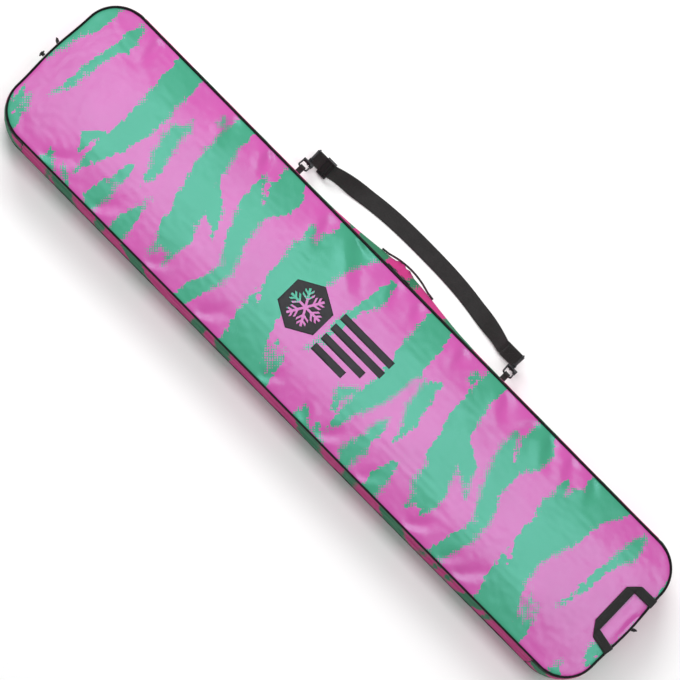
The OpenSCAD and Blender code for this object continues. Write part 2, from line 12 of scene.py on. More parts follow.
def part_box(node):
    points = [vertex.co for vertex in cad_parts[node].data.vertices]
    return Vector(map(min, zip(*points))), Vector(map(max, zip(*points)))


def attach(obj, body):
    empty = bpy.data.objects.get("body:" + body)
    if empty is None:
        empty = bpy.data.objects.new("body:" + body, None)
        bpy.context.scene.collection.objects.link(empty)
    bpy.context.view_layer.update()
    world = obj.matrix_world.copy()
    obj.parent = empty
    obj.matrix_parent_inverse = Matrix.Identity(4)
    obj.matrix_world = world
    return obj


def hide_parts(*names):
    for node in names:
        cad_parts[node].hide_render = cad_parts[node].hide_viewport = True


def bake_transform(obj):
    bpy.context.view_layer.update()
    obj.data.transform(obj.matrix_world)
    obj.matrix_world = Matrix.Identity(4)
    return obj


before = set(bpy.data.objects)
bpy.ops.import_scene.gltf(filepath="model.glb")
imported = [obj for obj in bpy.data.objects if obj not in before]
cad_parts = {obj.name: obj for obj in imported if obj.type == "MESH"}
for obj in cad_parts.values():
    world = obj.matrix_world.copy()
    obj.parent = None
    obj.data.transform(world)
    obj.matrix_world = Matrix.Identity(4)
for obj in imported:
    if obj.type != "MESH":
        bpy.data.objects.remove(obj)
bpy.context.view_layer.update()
MM = 0.001

# ---- the bag's own measures, millimetres, as the CAD has them ----
lo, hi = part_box("lid_piping")
PIPE_R = (hi.z - lo.z) / MM / 2
SEAM_Z = (hi.z + lo.z) / MM / 2
HALF_L = hi.x / MM - PIPE_R
HALF_W = hi.y / MM - PIPE_R
CORNER_R = 75.0
END_BOW = 4.0
CORNER_X = HALF_L - END_BOW - CORNER_R
CORNER_Y = HALF_W - CORNER_R
HINGE_HALF = CORNER_X - 16
WALL_LOW, WALL_HIGH, ZIP_WALL_TOP = 5.6, SEAM_Z - PIPE_R - 0.3, 102.0
BACK_PIPE_Z = 3.2
CHAIN_Z = 108.2
# the swell of the zip side under the side handle: how far out, and half its length
SWELL_OUT, SWELL_HALF = 18.0, 125.0
QUILT_PITCH, QUILT_HALF = 120.0, 7.0
# the hooks: distance of each from the strap's middle, their loops' place, and the strap's shift along the bag
HOOK_X, LOOP_Y, LOOP_Z, STRAP_SHIFT = 298.0, 204.0, 64.0, 9.0
# spacing of the points in the padded panels, and along the piping and the zip
STEP, FINE_STEP = 7.5, 4.5


# ---- outline of the bag seen from above ----
def bow(y):
    """How far the end stands out past its corners at this y."""
    return np.where(np.abs(y) < CORNER_Y, END_BOW * (1 + np.cos(np.pi * y / CORNER_Y)) / 2, 0.0)


def dense_outline():
    """Points and outward directions every millimetre, from the hinge's tail end round to its nose end."""
    rows = []

    def straight(x0, x1, y, ny):
        for x in np.linspace(x0, x1, max(2, int(abs(x1 - x0)))):
            rows.append((x, y, 0, ny))

    def corner(cx, cy, a0):
        for a in np.radians(np.linspace(a0, a0 + 90, 118)):
            c, s = math.cos(a), math.sin(a)
            rows.append((cx + CORNER_R * c, cy + CORNER_R * s, c, s))

    def end(side):
        for y in np.linspace(-CORNER_Y, CORNER_Y, 202) * side:
            rows.append((side * (CORNER_X + CORNER_R + float(bow(y))), y, side, 0))

    straight(HINGE_HALF, CORNER_X, -HALF_W, -1)
    corner(CORNER_X, -CORNER_Y, -90)
    end(1)
    corner(CORNER_X, CORNER_Y, 0)
    tail_len = len(rows)
    straight(CORNER_X, -CORNER_X, HALF_W, 1)
    zip_len = len(rows)
    corner(-CORNER_X, CORNER_Y, 90)
    end(-1)
    corner(-CORNER_X, -CORNER_Y, 180)
    straight(-CORNER_X, -HINGE_HALF, -HALF_W, -1)
    return np.array(rows), tail_len, zip_len


OUT, TAIL_END, ZIP_END = dense_outline()
HINGE = np.array([(x, -HALF_W, 0, -1) for x in np.linspace(-HINGE_HALF, HINGE_HALF, 1461)])


def run(points):
    """Length along a path up to each of its points."""
    return np.concatenate([[0], np.cumsum(np.linalg.norm(np.diff(points, axis=0), axis=1))])


def unit(vectors):
    """The same directions at length one."""
    return vectors / np.linalg.norm(vectors, axis=1)[:, None]


def resample(rows, step):
    """The same path with even steps of about this length, and the length along it."""
    s = run(rows[:, :2])
    t = np.linspace(0, s[-1], max(2, int(round(s[-1] / step)) + 1))
    out = np.stack([np.interp(t, s, rows[:, k]) for k in range(4)], axis=1)
    out[:, 2:] = unit(out[:, 2:])
    return out, t


def inset_of(x, y):
    """Distance from the outline inwards."""
    qx, qy = np.abs(x) - CORNER_X - bow(y), np.abs(y) - CORNER_Y
    far = np.hypot(np.maximum(qx, 0), np.maximum(qy, 0)) + np.minimum(np.maximum(qx, qy), 0)
    return CORNER_R - far


def dome(inset):
    """Height of the front panel over its seam."""
    return np.interp(inset, [1.5, 3, 20, 45, 90, 150, 176], [-0.4, 0.2, 2.2, 4.2, 6.0, 7.0, 7.15])


def bulge(ny):
    """Most that the gusset stands out from the outline where it faces this much towards +Y."""
    return 8 + 3.5 * ny + 0.5 * ny * ny


def wall_out(st, z):
    """How far the gusset's outer face stands out from the outline."""
    prof = 1 - np.abs(2 * (z - WALL_LOW) / (WALL_HIGH - WALL_LOW) - 1) ** 3
    u = np.clip((z - 10) / 92.0, 0, 1)
    swell = np.sin(np.pi * u ** 2.54) ** 2
    zip_side = np.where(st[:, 3] > 0.99, SWELL_OUT * np.exp(-(st[:, 0] / SWELL_HALF) ** 2), 0)
    return bulge(st[:, 3]) * prof + zip_side * swell


# ---- meshes ----
def make(name, verts, faces, mats, attrs=None, mat_index=None):
    """A mesh object from millimetres. attrs maps a name to one value or one vector per vertex."""
    me = bpy.data.meshes.new(name)
    me.from_pydata((np.asarray(verts, float) * MM).tolist(), [], [tuple(f) for f in faces])
    for key, data in (attrs or {}).items():
        data = np.asarray(data, np.float32)
        kind = "FLOAT_VECTOR" if data.ndim == 2 else "FLOAT"
        a = me.attributes.new(key, kind, "POINT")
        a.data.foreach_set("vector" if data.ndim == 2 else "value", data.ravel())
    for m in mats:
        me.materials.append(m)
    if mat_index is not None:
        me.polygons.foreach_set("material_index", np.asarray(mat_index, np.int32))
    me.polygons.foreach_set("use_smooth", np.full(len(me.polygons), True))
    me.update()
    ob = bpy.data.objects.new(name, me)
    bpy.context.scene.collection.objects.link(ob)
    return ob


def subdivide(ob):
    """Smooths the mesh by one level of subdivision, applied."""
    ob.modifiers.new("sub", "SUBSURF").levels = 1
    dg = bpy.context.evaluated_depsgraph_get()
    new = bpy.data.meshes.new_from_object(ob.evaluated_get(dg), preserve_all_data_layers=True, depsgraph=dg)
    ob.modifiers.clear()
    old = ob.data
    ob.data = new
    bpy.data.meshes.remove(old)


def read_points(me):
    """A mesh's points in millimetres, one row each."""
    co = np.zeros(len(me.vertices) * 3)
    me.vertices.foreach_get("co", co)
    return co.reshape(-1, 3) / MM


def soften(ob, width):
    """Rounds a mesh's sharp edges."""
    w = ob.modifiers.new("weld", "WELD")
    w.merge_threshold = 0.00002
    b = ob.modifiers.new("bevel", "BEVEL")
    b.width = width * MM
    b.segments = 2
    b.limit_method = "ANGLE"
    b.angle_limit = math.radians(40)


def fabric(u, v):
    """Fabric coordinates in metres, from millimetres along and across the cloth."""
    return np.column_stack([u, v, np.zeros(len(u))]) * MM


def grid_faces(n, m, closed=False):
    """Quads of a grid of n rows of m points; closed joins the last point of a row to its first."""
    a = np.arange(n * m).reshape(n, m)
    if closed:
        a = np.concatenate([a, a[:, :1]], axis=1)
    quads = np.stack([a[:-1, :-1], a[1:, :-1], a[1:, 1:], a[:-1, 1:]], axis=-1).reshape(-1, 4)
    return [tuple(q) for q in quads.tolist()]


def caps(n, k):
    """Faces that close the first and last of n rings of k points."""
    return [tuple(range(k)), tuple(range(n * k - 1, (n - 1) * k - 1, -1))]


def level(xy, z):
    """Points at one height."""
    return np.column_stack([xy, np.full(len(xy), z)])


def shell(top, under, faces):
    """Closes a sheet and its underside, which have the same faces, into one solid."""
    n = len(top)
    faces = [tuple(int(i) for i in f) for f in faces]
    edges = {(f[k], f[(k + 1) % len(f)]) for f in faces for k in range(len(f))}
    rim = [(b, a, a + n, b + n) for a, b in sorted(edges) if (b, a) not in edges]
    below = [tuple(i + n for i in reversed(f)) for f in faces]
    index = [0] * (len(faces) + len(rim)) + [1] * len(below)
    return np.concatenate([top, under]), faces + rim + below, index


def ring_of(sides, side, up):
    """Directions to the points of a ring round each station of a cord."""
    a = np.linspace(0, 2 * np.pi, sides, endpoint=False)
    return np.cos(a)[:, None] * side[:, None] + np.sin(a)[:, None] * up[:, None]


def tube(points, r, sides, closed=False, up=(0, 0, 1)):
    """A round cord along points; up steadies its section."""
    p = np.asarray(points, float)
    n = len(p)
    if closed:
        nxt, prv = np.roll(p, -1, 0), np.roll(p, 1, 0)
    else:
        nxt, prv = np.vstack([p[1:], 2 * p[-1] - p[-2]]), np.vstack([2 * p[0] - p[1], p[:-1]])
    t = unit(nxt - prv)
    side = unit(np.cross(t, np.asarray(up, float)))
    r = np.broadcast_to(np.asarray(r, float), (n,))[:, None, None]
    v = (p[:, None] + r * ring_of(sides, side, np.cross(side, t))).reshape(-1, 3)
    f = [q[::-1] for q in grid_faces(n, sides, True)]
    last = (n - 1) * sides
    if closed:
        return v, f + [(last + j, last + (j + 1) % sides, (j + 1) % sides, j) for j in range(sides)]
    return v, f + caps(n, sides)


def band(centres, across, normal, width, thick, cells):
    """Flat webbing with rounded selvedges, along centres: points, faces and fabric coordinates."""
    n = len(centres)
    h, e = width / 2, thick / 2
    xs = np.linspace(-h + e, h - e, cells + 1)
    sec = np.array([(-h, 0.0)] + [(x, e) for x in xs] + [(h, 0.0)] + [(x, -e) for x in xs[::-1]])
    k = len(sec)
    v = centres[:, None] + sec[None, :, :1] * across[:, None] + sec[None, :, 1:] * normal[:, None]
    f = grid_faces(n, k, True)
    for base, flip in ((0, False), ((n - 1) * k, True)):
        for j in range(k // 2):
            a, b = base + j, base + j + 1
            c, d = base + (k - j - 1) % k, base + (k - j) % k
            q = (a, b, c) if j == 0 else (a, b, d) if c == b else (a, b, c, d)
            f.append(q if flip else q[::-1])
    return v.reshape(-1, 3), f, fabric(np.repeat(run(centres), k), np.tile(sec[:, 0], n))


class Parts:
    """Collects several bits of mesh into one piece."""

    def __init__(self):
        self.v, self.f, self.fab, self.mi, self.n = [], [], [], [], 0

    def add(self, v, f, fab=None, mat=0):
        v = np.asarray(v, float)
        self.v.append(v)
        self.f += [tuple(int(i) + self.n for i in q) for q in f]
        self.mi += [mat] * len(f)
        self.fab.append(np.zeros((len(v), 3)) if fab is None else fab)
        self.n += len(v)

    def sew(self, points, pitch, length, r, normal=(0, 0, 1)):
        """Adds a row of stitches, in the second material."""
        self.add(*stitches(points, pitch, length, r, normal), None, 1)

    def build(self, name, mats):
        """One object of everything added, its faces turned outwards."""
        ob = make(name, np.concatenate(self.v), self.f, mats, {"fab": np.concatenate(self.fab)}, self.mi)
        bm = bmesh.new()
        bm.from_mesh(ob.data)
        bmesh.ops.recalc_face_normals(bm, faces=bm.faces)
        bm.to_mesh(ob.data)
        bm.free()
        return ob


# a stitch's section along its length: how far along, how thick, how high over the cloth
STITCH = [(0.0, 0.35, -0.9), (0.15, 0.9, 0.2), (0.5, 1.0, 0.6), (0.85, 0.9, 0.2), (1.0, 0.35, -0.9)]


def stitches(points, pitch, length, r, normal=(0, 0, 1)):
    """A row of thread stitches on a surface: points and faces of small beads."""
    p = np.asarray(points, float)
    s = run(p)
    mids = np.arange(pitch / 2, s[-1], pitch)
    a, b = (np.stack([np.interp(mids + q, s, p[:, k]) for k in range(3)], axis=1)
            for q in (-length / 2, length / 2))
    t = b - a
    t /= np.maximum(np.linalg.norm(t, axis=1), 1e-9)[:, None]
    up = np.broadcast_to(np.asarray(normal, float), t.shape)
    n, sides = len(STITCH), 6
    ring = ring_of(sides, np.cross(t, up), up)
    rings = [(a + (b - a) * f + up * r * lift)[:, None] + r * k * ring for f, k, lift in STITCH]
    one = grid_faces(n, sides, True) + [q[::-1] for q in caps(n, sides)]
    faces = [tuple(i + n * sides * k for i in q) for k in range(len(mids)) for q in one]
    return np.stack(rings, axis=1).reshape(-1, 3), faces


# ---- the two-colour print: strokes (x, y, half width) listed for the front panel, repeated along it ----
PRINT_REPEAT, PRINT_FROM = 724.0, -880.0
STROKES = [
    [(-731, 160, 6), (-731, 130, 16), (-729, 108, 15), (-736, 90, 12), (-741, 72, 9),
     (-746, 45, 8), (-749, 20, 9), (-750, -20, 8), (-755, -42, 5), (-763, -66, 1)],
    [(-791, -94, 1), (-782, -120, 7), (-780, -140, 8), (-775, -160, 9), (-776, -185, 15)],
    [(-605, 182, 32), (-604, 160, 32), (-600, 128, 35), (-598, 100, 34), (-593, 60, 33), (-594, 18, 29),
     (-598, -20, 26), (-605, -60, 21), (-613, -92, 15), (-614, -120, 9), (-616, -146, 1)],
    [(-632, -52, 8), (-648, -76, 12), (-640, -104, 6)],
    [(-525, 101, 1), (-519, 80, 6), (-530, 60, 15), (-524, 30, 19), (-518, 0, 19), (-508, -22, 14),
     (-504, -68, 1)],
    [(-545, -46, 1), (-545, -70, 12), (-546, -100, 11), (-546, -128, 19), (-552, -152, 20), (-541, -182, 9)],
    [(-470, -74, 1), (-471, -108, 9), (-472, -140, 18), (-467, -180, 18)],
    [(-678, -148, 6), (-670, -168, 16), (-660, -185, 22)],
    [(-640, -153, 4), (-600, -181, 5)],
    [(-482, 148, 6), (-478, 134, 8)],
    [(-443, 182, 25), (-444, 120, 25), (-437, 96, 26), (-436, 78, 31), (-431, 50, 31), (-420, 10, 32),
     (-409, -20, 33), (-398, -45, 30), (-390, -80, 37), (-384, -98, 30)],
    [(-392, -98, 14), (-394, -120, 8), (-395, -150, 1)],
    [(-366, -96, 13), (-361, -120, 8), (-360, -150, 1)],
    [(-395, 18, 22), (-365, 2, 18), (-340, -22, 9), (-324, -47, 1)],
    [(-300, 182, 25), (-298, 160, 27), (-285, 132, 34), (-290, 112, 35), (-310, 95, 35), (-311, 62, 32),
     (-300, 22, 25), (-294, 0, 22), (-284, -22, 19), (-271, -42, 18), (-262, -62, 14), (-267, -100, 17),
     (-280, -140, 17), (-289, -182, 14)],
    [(-340, 122, 5), (-338, 100, 6)],
    [(-113, 182, 54), (-118, 160, 50), (-127, 124, 40), (-142, 92, 50), (-150, 62, 55), (-150, 30, 46),
     (-157, 0, 41), (-157, -35, 34), (-151, -80, 39), (-141, -100, 46), (-130, -124, 52), (-122, -156, 50),
     (-122, -190, 50)],
    [(-197, 124, 7), (-196, 104, 8), (-178, 92, 16)],
    [(-84, -118, 12), (-62, -133, 1)],
    [(-70, -150, 2), (-76, -190, 20)],
    [(-85, -95, 3), (-74, -130, 10), (-72, -160, 16), (-78, -190, 22)],
]
GAPS = [
    [(-336, 132, 3), (-320, 106, 5), (-304, 78, 2)],
    [(-200, -30, 6), (-184, -52, 6), (-171, -78, 1)],
    [(-108, -62, 10), (-98, -100, 8), (-80, -132, 2)],
    [(-183, 108, 4), (-186, 128, 6)],
]
# strokes that occur once only: the nose band and two patches at the tail end
ONCE = [
    [(-812, 172, 24), (-812, 120, 26), (-821, 60, 19), (-824, 20, 15), (-827, -12, 8)],
    [(770, -140, 5), (768, -165, 9)],
    [(820, -70, 5), (822, -95, 8)],
]
# second-colour patches on the two long gusset panels: x, half width, lean towards the tail going down
PATCHES = {
    "hinge": [(-656, 7, 0), (-610, 33, 0.2), (-508, 14, 0), (-396, 29, 0.5), (-222, 18, 0), (-152, 21, 0.1),
              (103, 34, 0.3), (212, 18, 0), (342, 36, 0.4), (420, 6, 0), (459, 7, 0), (493, 7, 0),
              (554, 24, -0.2), (602, 8, 0)],
    "zip": [(-560, 34, 0.3), (-410, 22, 0), (-238, 40, 0), (-149, 6, 0), (-91, 38, 0), (20, 13, 0),
            (161, 44, 0), (266, 22, 0), (430, 30, 0.3), (600, 26, 0)],
}


def print_field(x, y):
    """Signed distance in millimetres into the second colour of the print."""
    xr = np.mod(x - PRINT_FROM, PRINT_REPEAT) + PRINT_FROM

    def inside(strokes, at):
        best = np.full(x.shape, -60.0)
        for s in strokes:
            for (ax, ay, ar), (bx, by, br) in zip(s[:-1], s[1:]):
                dx, dy = bx - ax, by - ay
                px, py = at - ax, y - ay
                t = np.clip((px * dx + py * dy) / (dx * dx + dy * dy), 0, 1)
                best = np.maximum(best, ar + t * (br - ar) - np.hypot(px - t * dx, py - t * dy))
        return best

    shifts = (-PRINT_REPEAT, 0, PRINT_REPEAT)
    drawn = np.maximum.reduce([inside(STROKES, xr + shift) for shift in shifts] + [inside(ONCE, x)])
    return np.minimum(drawn, -np.maximum.reduce([inside(GAPS, xr + shift) for shift in shifts]))


# ---- materials ----
def new_mat(name):
    m = bpy.data.materials.new(name)
    m.use_nodes = True
    m.node_tree.nodes.clear()
    return m


class Net:
    """Short calls for building a node tree."""

    def __init__(self, m):
        self.t = m.node_tree

    def node(self, kind, inputs=None, **props):
        n = self.t.nodes.new("ShaderNode" + kind)
        for k, v in props.items():
            setattr(n, k, v)
        for k, v in (inputs or {}).items():
            if isinstance(v, bpy.types.NodeSocket):
                self.t.links.new(v, n.inputs[k])
            else:
                n.inputs[k].default_value = v
        return n

    def math(self, op, a, b=0.0, c=0.0):
        return self.node("Math", {0: a, 1: b, 2: c}, operation=op).outputs[0]

    def add(self, a, b):
        return self.math("ADD", a, b)

    def mul(self, a, b):
        return self.math("MULTIPLY", a, b)

    def mix(self, f, a, b):
        n = self.t.nodes.new("ShaderNodeMix")
        n.data_type = "RGBA"
        for k, v in (("Factor", f), ("A", a), ("B", b)):
            kind = "VALUE" if k == "Factor" else "RGBA"
            s = [i for i in n.inputs if i.name == k and i.type == kind][0]
            if isinstance(v, bpy.types.NodeSocket):
                self.t.links.new(v, s)
            else:
                s.default_value = v
        return [o for o in n.outputs if o.type == "RGBA"][0]

    def attr(self, name):
        return self.node("Attribute", attribute_name=name)

    def noise(self, vec, scale, detail=2.0, rough=0.5):
        ins = {"Vector": vec, "Scale": scale, "Detail": detail, "Roughness": rough}
        return self.node("TexNoise", ins).outputs[0]

    def ramp(self, v, a, b, lo=0.0, hi=1.0):
        return self.node("MapRange", {0: v, 1: a, 2: b, 3: lo, 4: hi}).outputs[0]

    def scaled(self, vec, s):
        return self.node("VectorMath", {0: vec, 1: s}, operation="MULTIPLY").outputs[0]

    def shaded(self, colour, factor):
        """A colour made lighter or darker by a factor."""
        return self.node("VectorMath", {0: colour, "Scale": factor}, operation="SCALE").outputs[0]

    def bump(self, height, dist, normal=None):
        ins = {"Height": height, "Distance": dist}
        if normal is not None:
            ins["Normal"] = normal
        return self.node("Bump", ins).outputs[0]

    def finish(self, **inputs):
        b = self.node("BsdfPrincipled", {k.replace("_", " "): v for k, v in inputs.items()})
        o = self.node("OutputMaterial")
        self.t.links.new(b.outputs[0], o.inputs[0])


def linear(r, g, b):
    """A screen colour of 0 to 255 as linear light."""
    f = lambda c: c / 12.92 if c <= 0.04045 else ((c + 0.055) / 1.055) ** 2.4
    return (f(r / 255), f(g / 255), f(b / 255), 1.0)


def weave(net, u, v, pitch):
    """Plain weave: 0 in the gaps, 1 on the crossings."""
    k = 2 * math.pi / pitch
    a = net.math("SINE", net.mul(u, k))
    b = net.math("SINE", net.mul(v, k))
    return net.add(net.mul(net.mul(a, b), 0.5), 0.5)


def cloth_mat(name):
    """A new material with its net, the fabric coordinates, and those along and across the cloth."""
    m = new_mat(name)
    net = Net(m)
    fab = net.attr("fab").outputs["Vector"]
    sep = net.node("SeparateXYZ", {0: fab})
    return m, net, fab, sep.outputs[0], sep.outputs[1]


PINK, TEAL = (0.565, 0.092, 0.380, 1.0), (0.058, 0.330, 0.200, 1.0)
# the gusset's print: a deeper magenta-red than the front panel's, and also darker as painted shade of the
# side walls
DEEP_AND_SHADED_PINK, DEEP_AND_SHADED_TEAL = (0.50, 0.042, 0.200, 1.0), (0.036, 0.185, 0.098, 1.0)
GLOSS = (0.44, 0.98, 1.0, 1.0)
# the print's edge: how far it wanders and how far it frays, and the size and pitch of its dots
WANDER, FRAY, DOT, DOT_PITCH = 19.0, 20.0, 7.0, 0.0050
COMBS = ((24.0, 85.0), (110.0, 26.0))


def print_fabric(name, pink, teal, ior, gloss, rough, creased=0.0):
    """Printed woven cloth: the print's edge wanders, frays in two combed directions and breaks into dots."""
    m, net, fab, u, v = cloth_mat(name)
    field = net.attr("print").outputs["Fac"]
    p, q = net.add(u, v), net.math("SUBTRACT", u, v)
    combs = [net.node("CombineXYZ", {0: net.mul(q, a), 1: net.mul(p, b)}).outputs[0] for a, b in COMBS]
    combed = [net.noise(comb, 1.0, 3.0, 0.6) for comb in combs]
    frayed = net.mul(net.add(net.add(*combed), -1.0), FRAY)
    wide = net.noise(net.scaled(fab, (1.0, 0.62, 1.0)), 24.0, 4.0, 0.6)
    wander = net.mul(net.add(wide, -0.5), WANDER)
    k = 2 * math.pi / DOT_PITCH / math.sqrt(2)
    dots = net.mul(net.add(net.math("COSINE", net.mul(p, k)), net.math("COSINE", net.mul(q, k))), 0.5)
    dots_zone = net.ramp(net.noise(net.scaled(fab, (1.0, 0.8, 1.0)), 9.0, 1.0), 0.44, 0.56)
    dotted = net.mul(net.mul(dots, dots_zone), DOT)
    total = net.add(net.add(field, wander), net.add(frayed, dotted))
    colour = net.mix(net.ramp(total, -0.5, 0.5), pink, teal)
    cloth = weave(net, u, v, 0.0011)
    fade = net.ramp(net.noise(fab, 7.0, 3.0), 0.3, 0.7, 0.95, 1.04)
    # slightly darker in the weave's gaps as painted shade and lighter on its crossings as painted highlight,
    # with random fading
    colour = net.shaded(colour, net.mul(fade, net.ramp(cloth, 0.0, 1.0, 0.9, 1.06)))
    shine = net.ramp(net.noise(fab, 12.0, 2.0), 0.0, 1.0, rough - 0.03, rough + 0.04)
    b = net.bump(net.noise(fab, 30.0, 1.0), 0.0002)
    if creased:
        b = net.bump(net.noise(net.scaled(fab, (14.0, 75.0, 14.0)), 1.0, 3.0, 0.6), creased, b)
    b = net.bump(cloth, 0.00003, b)
    net.finish(Base_Color=colour, Roughness=shine, Normal=b, IOR=ior, Specular_IOR_Level=gloss,
               Specular_Tint=GLOSS, Sheen_Weight=0.05, Sheen_Roughness=0.4)
    return m


def dark_fabric(name, colour, pitch, rough=(0.55, 0.75), depth=0.00018, sheen=0.1):
    """Plain woven cloth in one colour."""
    m, net, fab, u, v = cloth_mat(name)
    cloth = weave(net, u, v, pitch)
    fade = net.ramp(net.noise(fab, 25.0, 3.0), 0.3, 0.7, 0.85, 1.15)
    # darker in the weave's gaps as painted shade and lighter on its crossings as painted highlight, with
    # random fading
    colour = net.shaded(colour[:3], net.mul(net.ramp(cloth, 0, 1, 0.7, 1.25), fade))
    b = net.bump(cloth, depth, net.bump(net.noise(fab, 90.0, 3.0), 0.0004))
    shine = net.ramp(net.noise(fab, 120.0), 0.3, 0.7, *rough)
    net.finish(Base_Color=colour, Roughness=shine, Normal=b, Sheen_Weight=sheen, Sheen_Roughness=0.5)
    return m


def webbing(name, colour, rib=0.0017, wale=0.0024):
    """Woven webbing: ribs along it with a herringbone between them, darker in the valleys as painted shade
    and lighter on the ridges as painted highlight.
    """
    m, net, fab, u, v = cloth_mat(name)
    ribs = net.math("SINE", net.mul(v, 2 * math.pi / rib))
    zig = net.math("PINGPONG", net.add(v, 0.1), rib)
    twill = net.math("SINE", net.mul(net.add(u, zig), 2 * math.pi / wale))
    height = net.add(net.mul(ribs, 0.25), net.add(net.mul(twill, 0.25), 0.5))
    fade = net.ramp(net.noise(fab, 60.0, 3.0), 0.3, 0.7, 0.85, 1.15)
    # painted shade in the valleys and painted highlight on the ridges, with random fading
    colour = net.shaded(colour[:3], net.mul(net.ramp(height, 0, 1, 0.62, 1.3), fade))
    shine = net.ramp(net.noise(fab, 300.0), 0.3, 0.7, 0.5, 0.72)
    net.finish(Base_Color=colour, Roughness=shine, Normal=net.bump(height, 0.00035), Sheen_Weight=0.2,
               Sheen_Roughness=0.5)
    return m


def solid_stuff(name, colour, metallic, rough, wear, grain):
    """Moulded plastic or coated metal, with worn edges, fine grain and handling marks."""
    m = new_mat(name)
    net = Net(m)
    pos = net.node("TexCoord").outputs["Object"]
    edges = net.ramp(net.node("NewGeometry").outputs["Pointiness"], 0.52, 0.60)
    worn = net.mul(edges, net.ramp(net.noise(pos, 700.0, 3.0), 0.40, 0.62))
    darker, lighter = (tuple(min(1, c * k) for c in colour[:3]) + (1,) for k in (0.9, 1.12))
    colour = net.mix(worn, net.mix(net.noise(pos, 160.0, 3.0), darker, lighter), wear)
    marks = net.ramp(net.noise(pos, 420.0, 4.0), 0.3, 0.7, rough - 0.07, rough + 0.1)
    b = net.bump(net.noise(pos, 2200.0, 2.0), grain)
    net.finish(Base_Color=colour, Roughness=marks, Normal=b, Metallic=metallic)
    return m


M_PRINT = print_fabric("print_fabric_front", PINK, TEAL, 1.5, 0.64, 0.21)
# the gusset material's colours carry painted shade of the side walls besides their deeper hue
M_GUSSET = print_fabric("print_fabric_gusset", DEEP_AND_SHADED_PINK, DEEP_AND_SHADED_TEAL, 1.3, 0.12, 0.6, 0.003)
M_LINING = dark_fabric("lining_nylon", linear(58, 58, 62), 0.0008)
M_BIND = dark_fabric("bias_binding", linear(11, 11, 12), 0.0007, (0.5, 0.65), 0.0001, 0.0)
M_TAPE = dark_fabric("zip_tape_twill", linear(26, 26, 28), 0.0009, (0.6, 0.75), 0.00012)
M_COIL = solid_stuff("zip_coil_nylon", linear(22, 22, 24), 0.0, 0.35, linear(50, 50, 52), 0.00001)
M_WEB = webbing("webbing_black", linear(33, 32, 32))
M_STRAP = webbing("webbing_strap", linear(38, 36, 36), 0.0021, 0.003)
M_INK = dark_fabric("screen_print_ink", linear(50, 49, 53), 0.0011, (0.5, 0.62), 0.00012, 0.05)
M_THREAD = dark_fabric("thread", linear(62, 60, 60), 0.0005, (0.5, 0.6))
M_PLASTIC = solid_stuff("plastic_black", linear(34, 34, 36), 0.0, 0.42, linear(70, 70, 72), 0.00002)
M_METAL = solid_stuff("metal_black_coated", linear(50, 50, 53), 0.25, 0.36, linear(64, 64, 66), 0.000003)


# ---- padded panels ----
def panel_sheet(inset):
    """An even mesh over the front or back panel, as x, y and quads."""
    st, _ = resample(np.concatenate([OUT[:-1], HINGE[:-1], OUT[:1]]), STEP)
    loop = st[:-1, :2] - inset * st[:-1, 2:]
    nx, ny = round(HALF_L / STEP) - 1, int(HALF_W / STEP)
    grid = np.meshgrid(np.arange(-nx, nx + 1) * STEP, (np.arange(-ny, ny) + 0.5) * STEP, indexing="ij")
    X, Y = (a.ravel() for a in grid)
    keep = inset_of(X, Y) > inset + 0.62 * STEP
    pts = np.concatenate([loop, np.stack([X[keep], Y[keep]], axis=1)])
    n = len(loop)
    rim = [(i, (i + 1) % n) for i in range(n)]
    co, _, tris, _, _, _ = delaunay_2d_cdt([Vector(p) for p in pts], rim, [], 1, 1e-4)
    bm = bmesh.new()
    vs = [bm.verts.new((c[0], c[1], 0)) for c in co]
    for t in tris:
        bm.faces.new([vs[i] for i in t])
    bmesh.ops.recalc_face_normals(bm, faces=bm.faces)
    if sum(f.normal.z for f in bm.faces) < 0:
        bmesh.ops.reverse_faces(bm, faces=bm.faces)
    bmesh.ops.join_triangles(bm, faces=bm.faces, angle_face_threshold=3.1, angle_shape_threshold=0.6)
    bm.verts.index_update()
    xy = np.array([(v.co.x, v.co.y) for v in bm.verts])
    faces = [tuple(v.index for v in f.verts) for f in bm.faces]
    edge = np.array([v.is_boundary for v in bm.verts])
    bm.free()
    return xy, faces, edge


def strip(rows, low, high):
    """A gusset panel as a grid: stations, heights, points and quads, facing outwards."""
    st, s = resample(rows, STEP)
    zs = np.linspace(low, high, int(round((high - low) / STEP)) + 1)
    pts = [level(st[:, :2] + st[:, 2:] * wall_out(st, z)[:, None], z) for z in zs]
    v = np.stack(pts, axis=1).reshape(-1, 3)
    faces = grid_faces(len(st), len(zs))
    edge = np.zeros((len(st), len(zs)), bool)
    edge[[0, -1]] = True
    edge[:, [0, -1]] = True
    return st, s, zs, v, faces, edge.ravel()


PANELS = {
    "tail": (OUT[:TAIL_END], ZIP_WALL_TOP),
    "zip": (OUT[TAIL_END:ZIP_END], ZIP_WALL_TOP),
    "nose": (OUT[ZIP_END:], ZIP_WALL_TOP),
    "hinge": (HINGE, WALL_HIGH),
}

lid_xy, lid_faces, lid_edge = panel_sheet(1.8)
lid_in = inset_of(lid_xy[:, 0], lid_xy[:, 1])
lid_top = np.column_stack([lid_xy, SEAM_Z + dome(lid_in)])
strips = {k: strip(rows, WALL_LOW, top) for k, (rows, top) in PANELS.items()}


PUFF_FRAMES = 22
CLOTH = {
    "quality": 6, "mass": 0.3, "tension_stiffness": 18, "compression_stiffness": 18, "shear_stiffness": 12,
    "bending_stiffness": 1.2, "tension_damping": 12, "compression_damping": 12, "shear_damping": 12,
    "bending_damping": 2, "air_damping": 4, "vertex_group_mass": "hold", "pin_stiffness": 1,
    "use_pressure": True, "uniform_pressure_force": 0.6, "vertex_group_shrink": "ease", "shrink_min": 0.0,
    "shrink_max": -0.022,
}


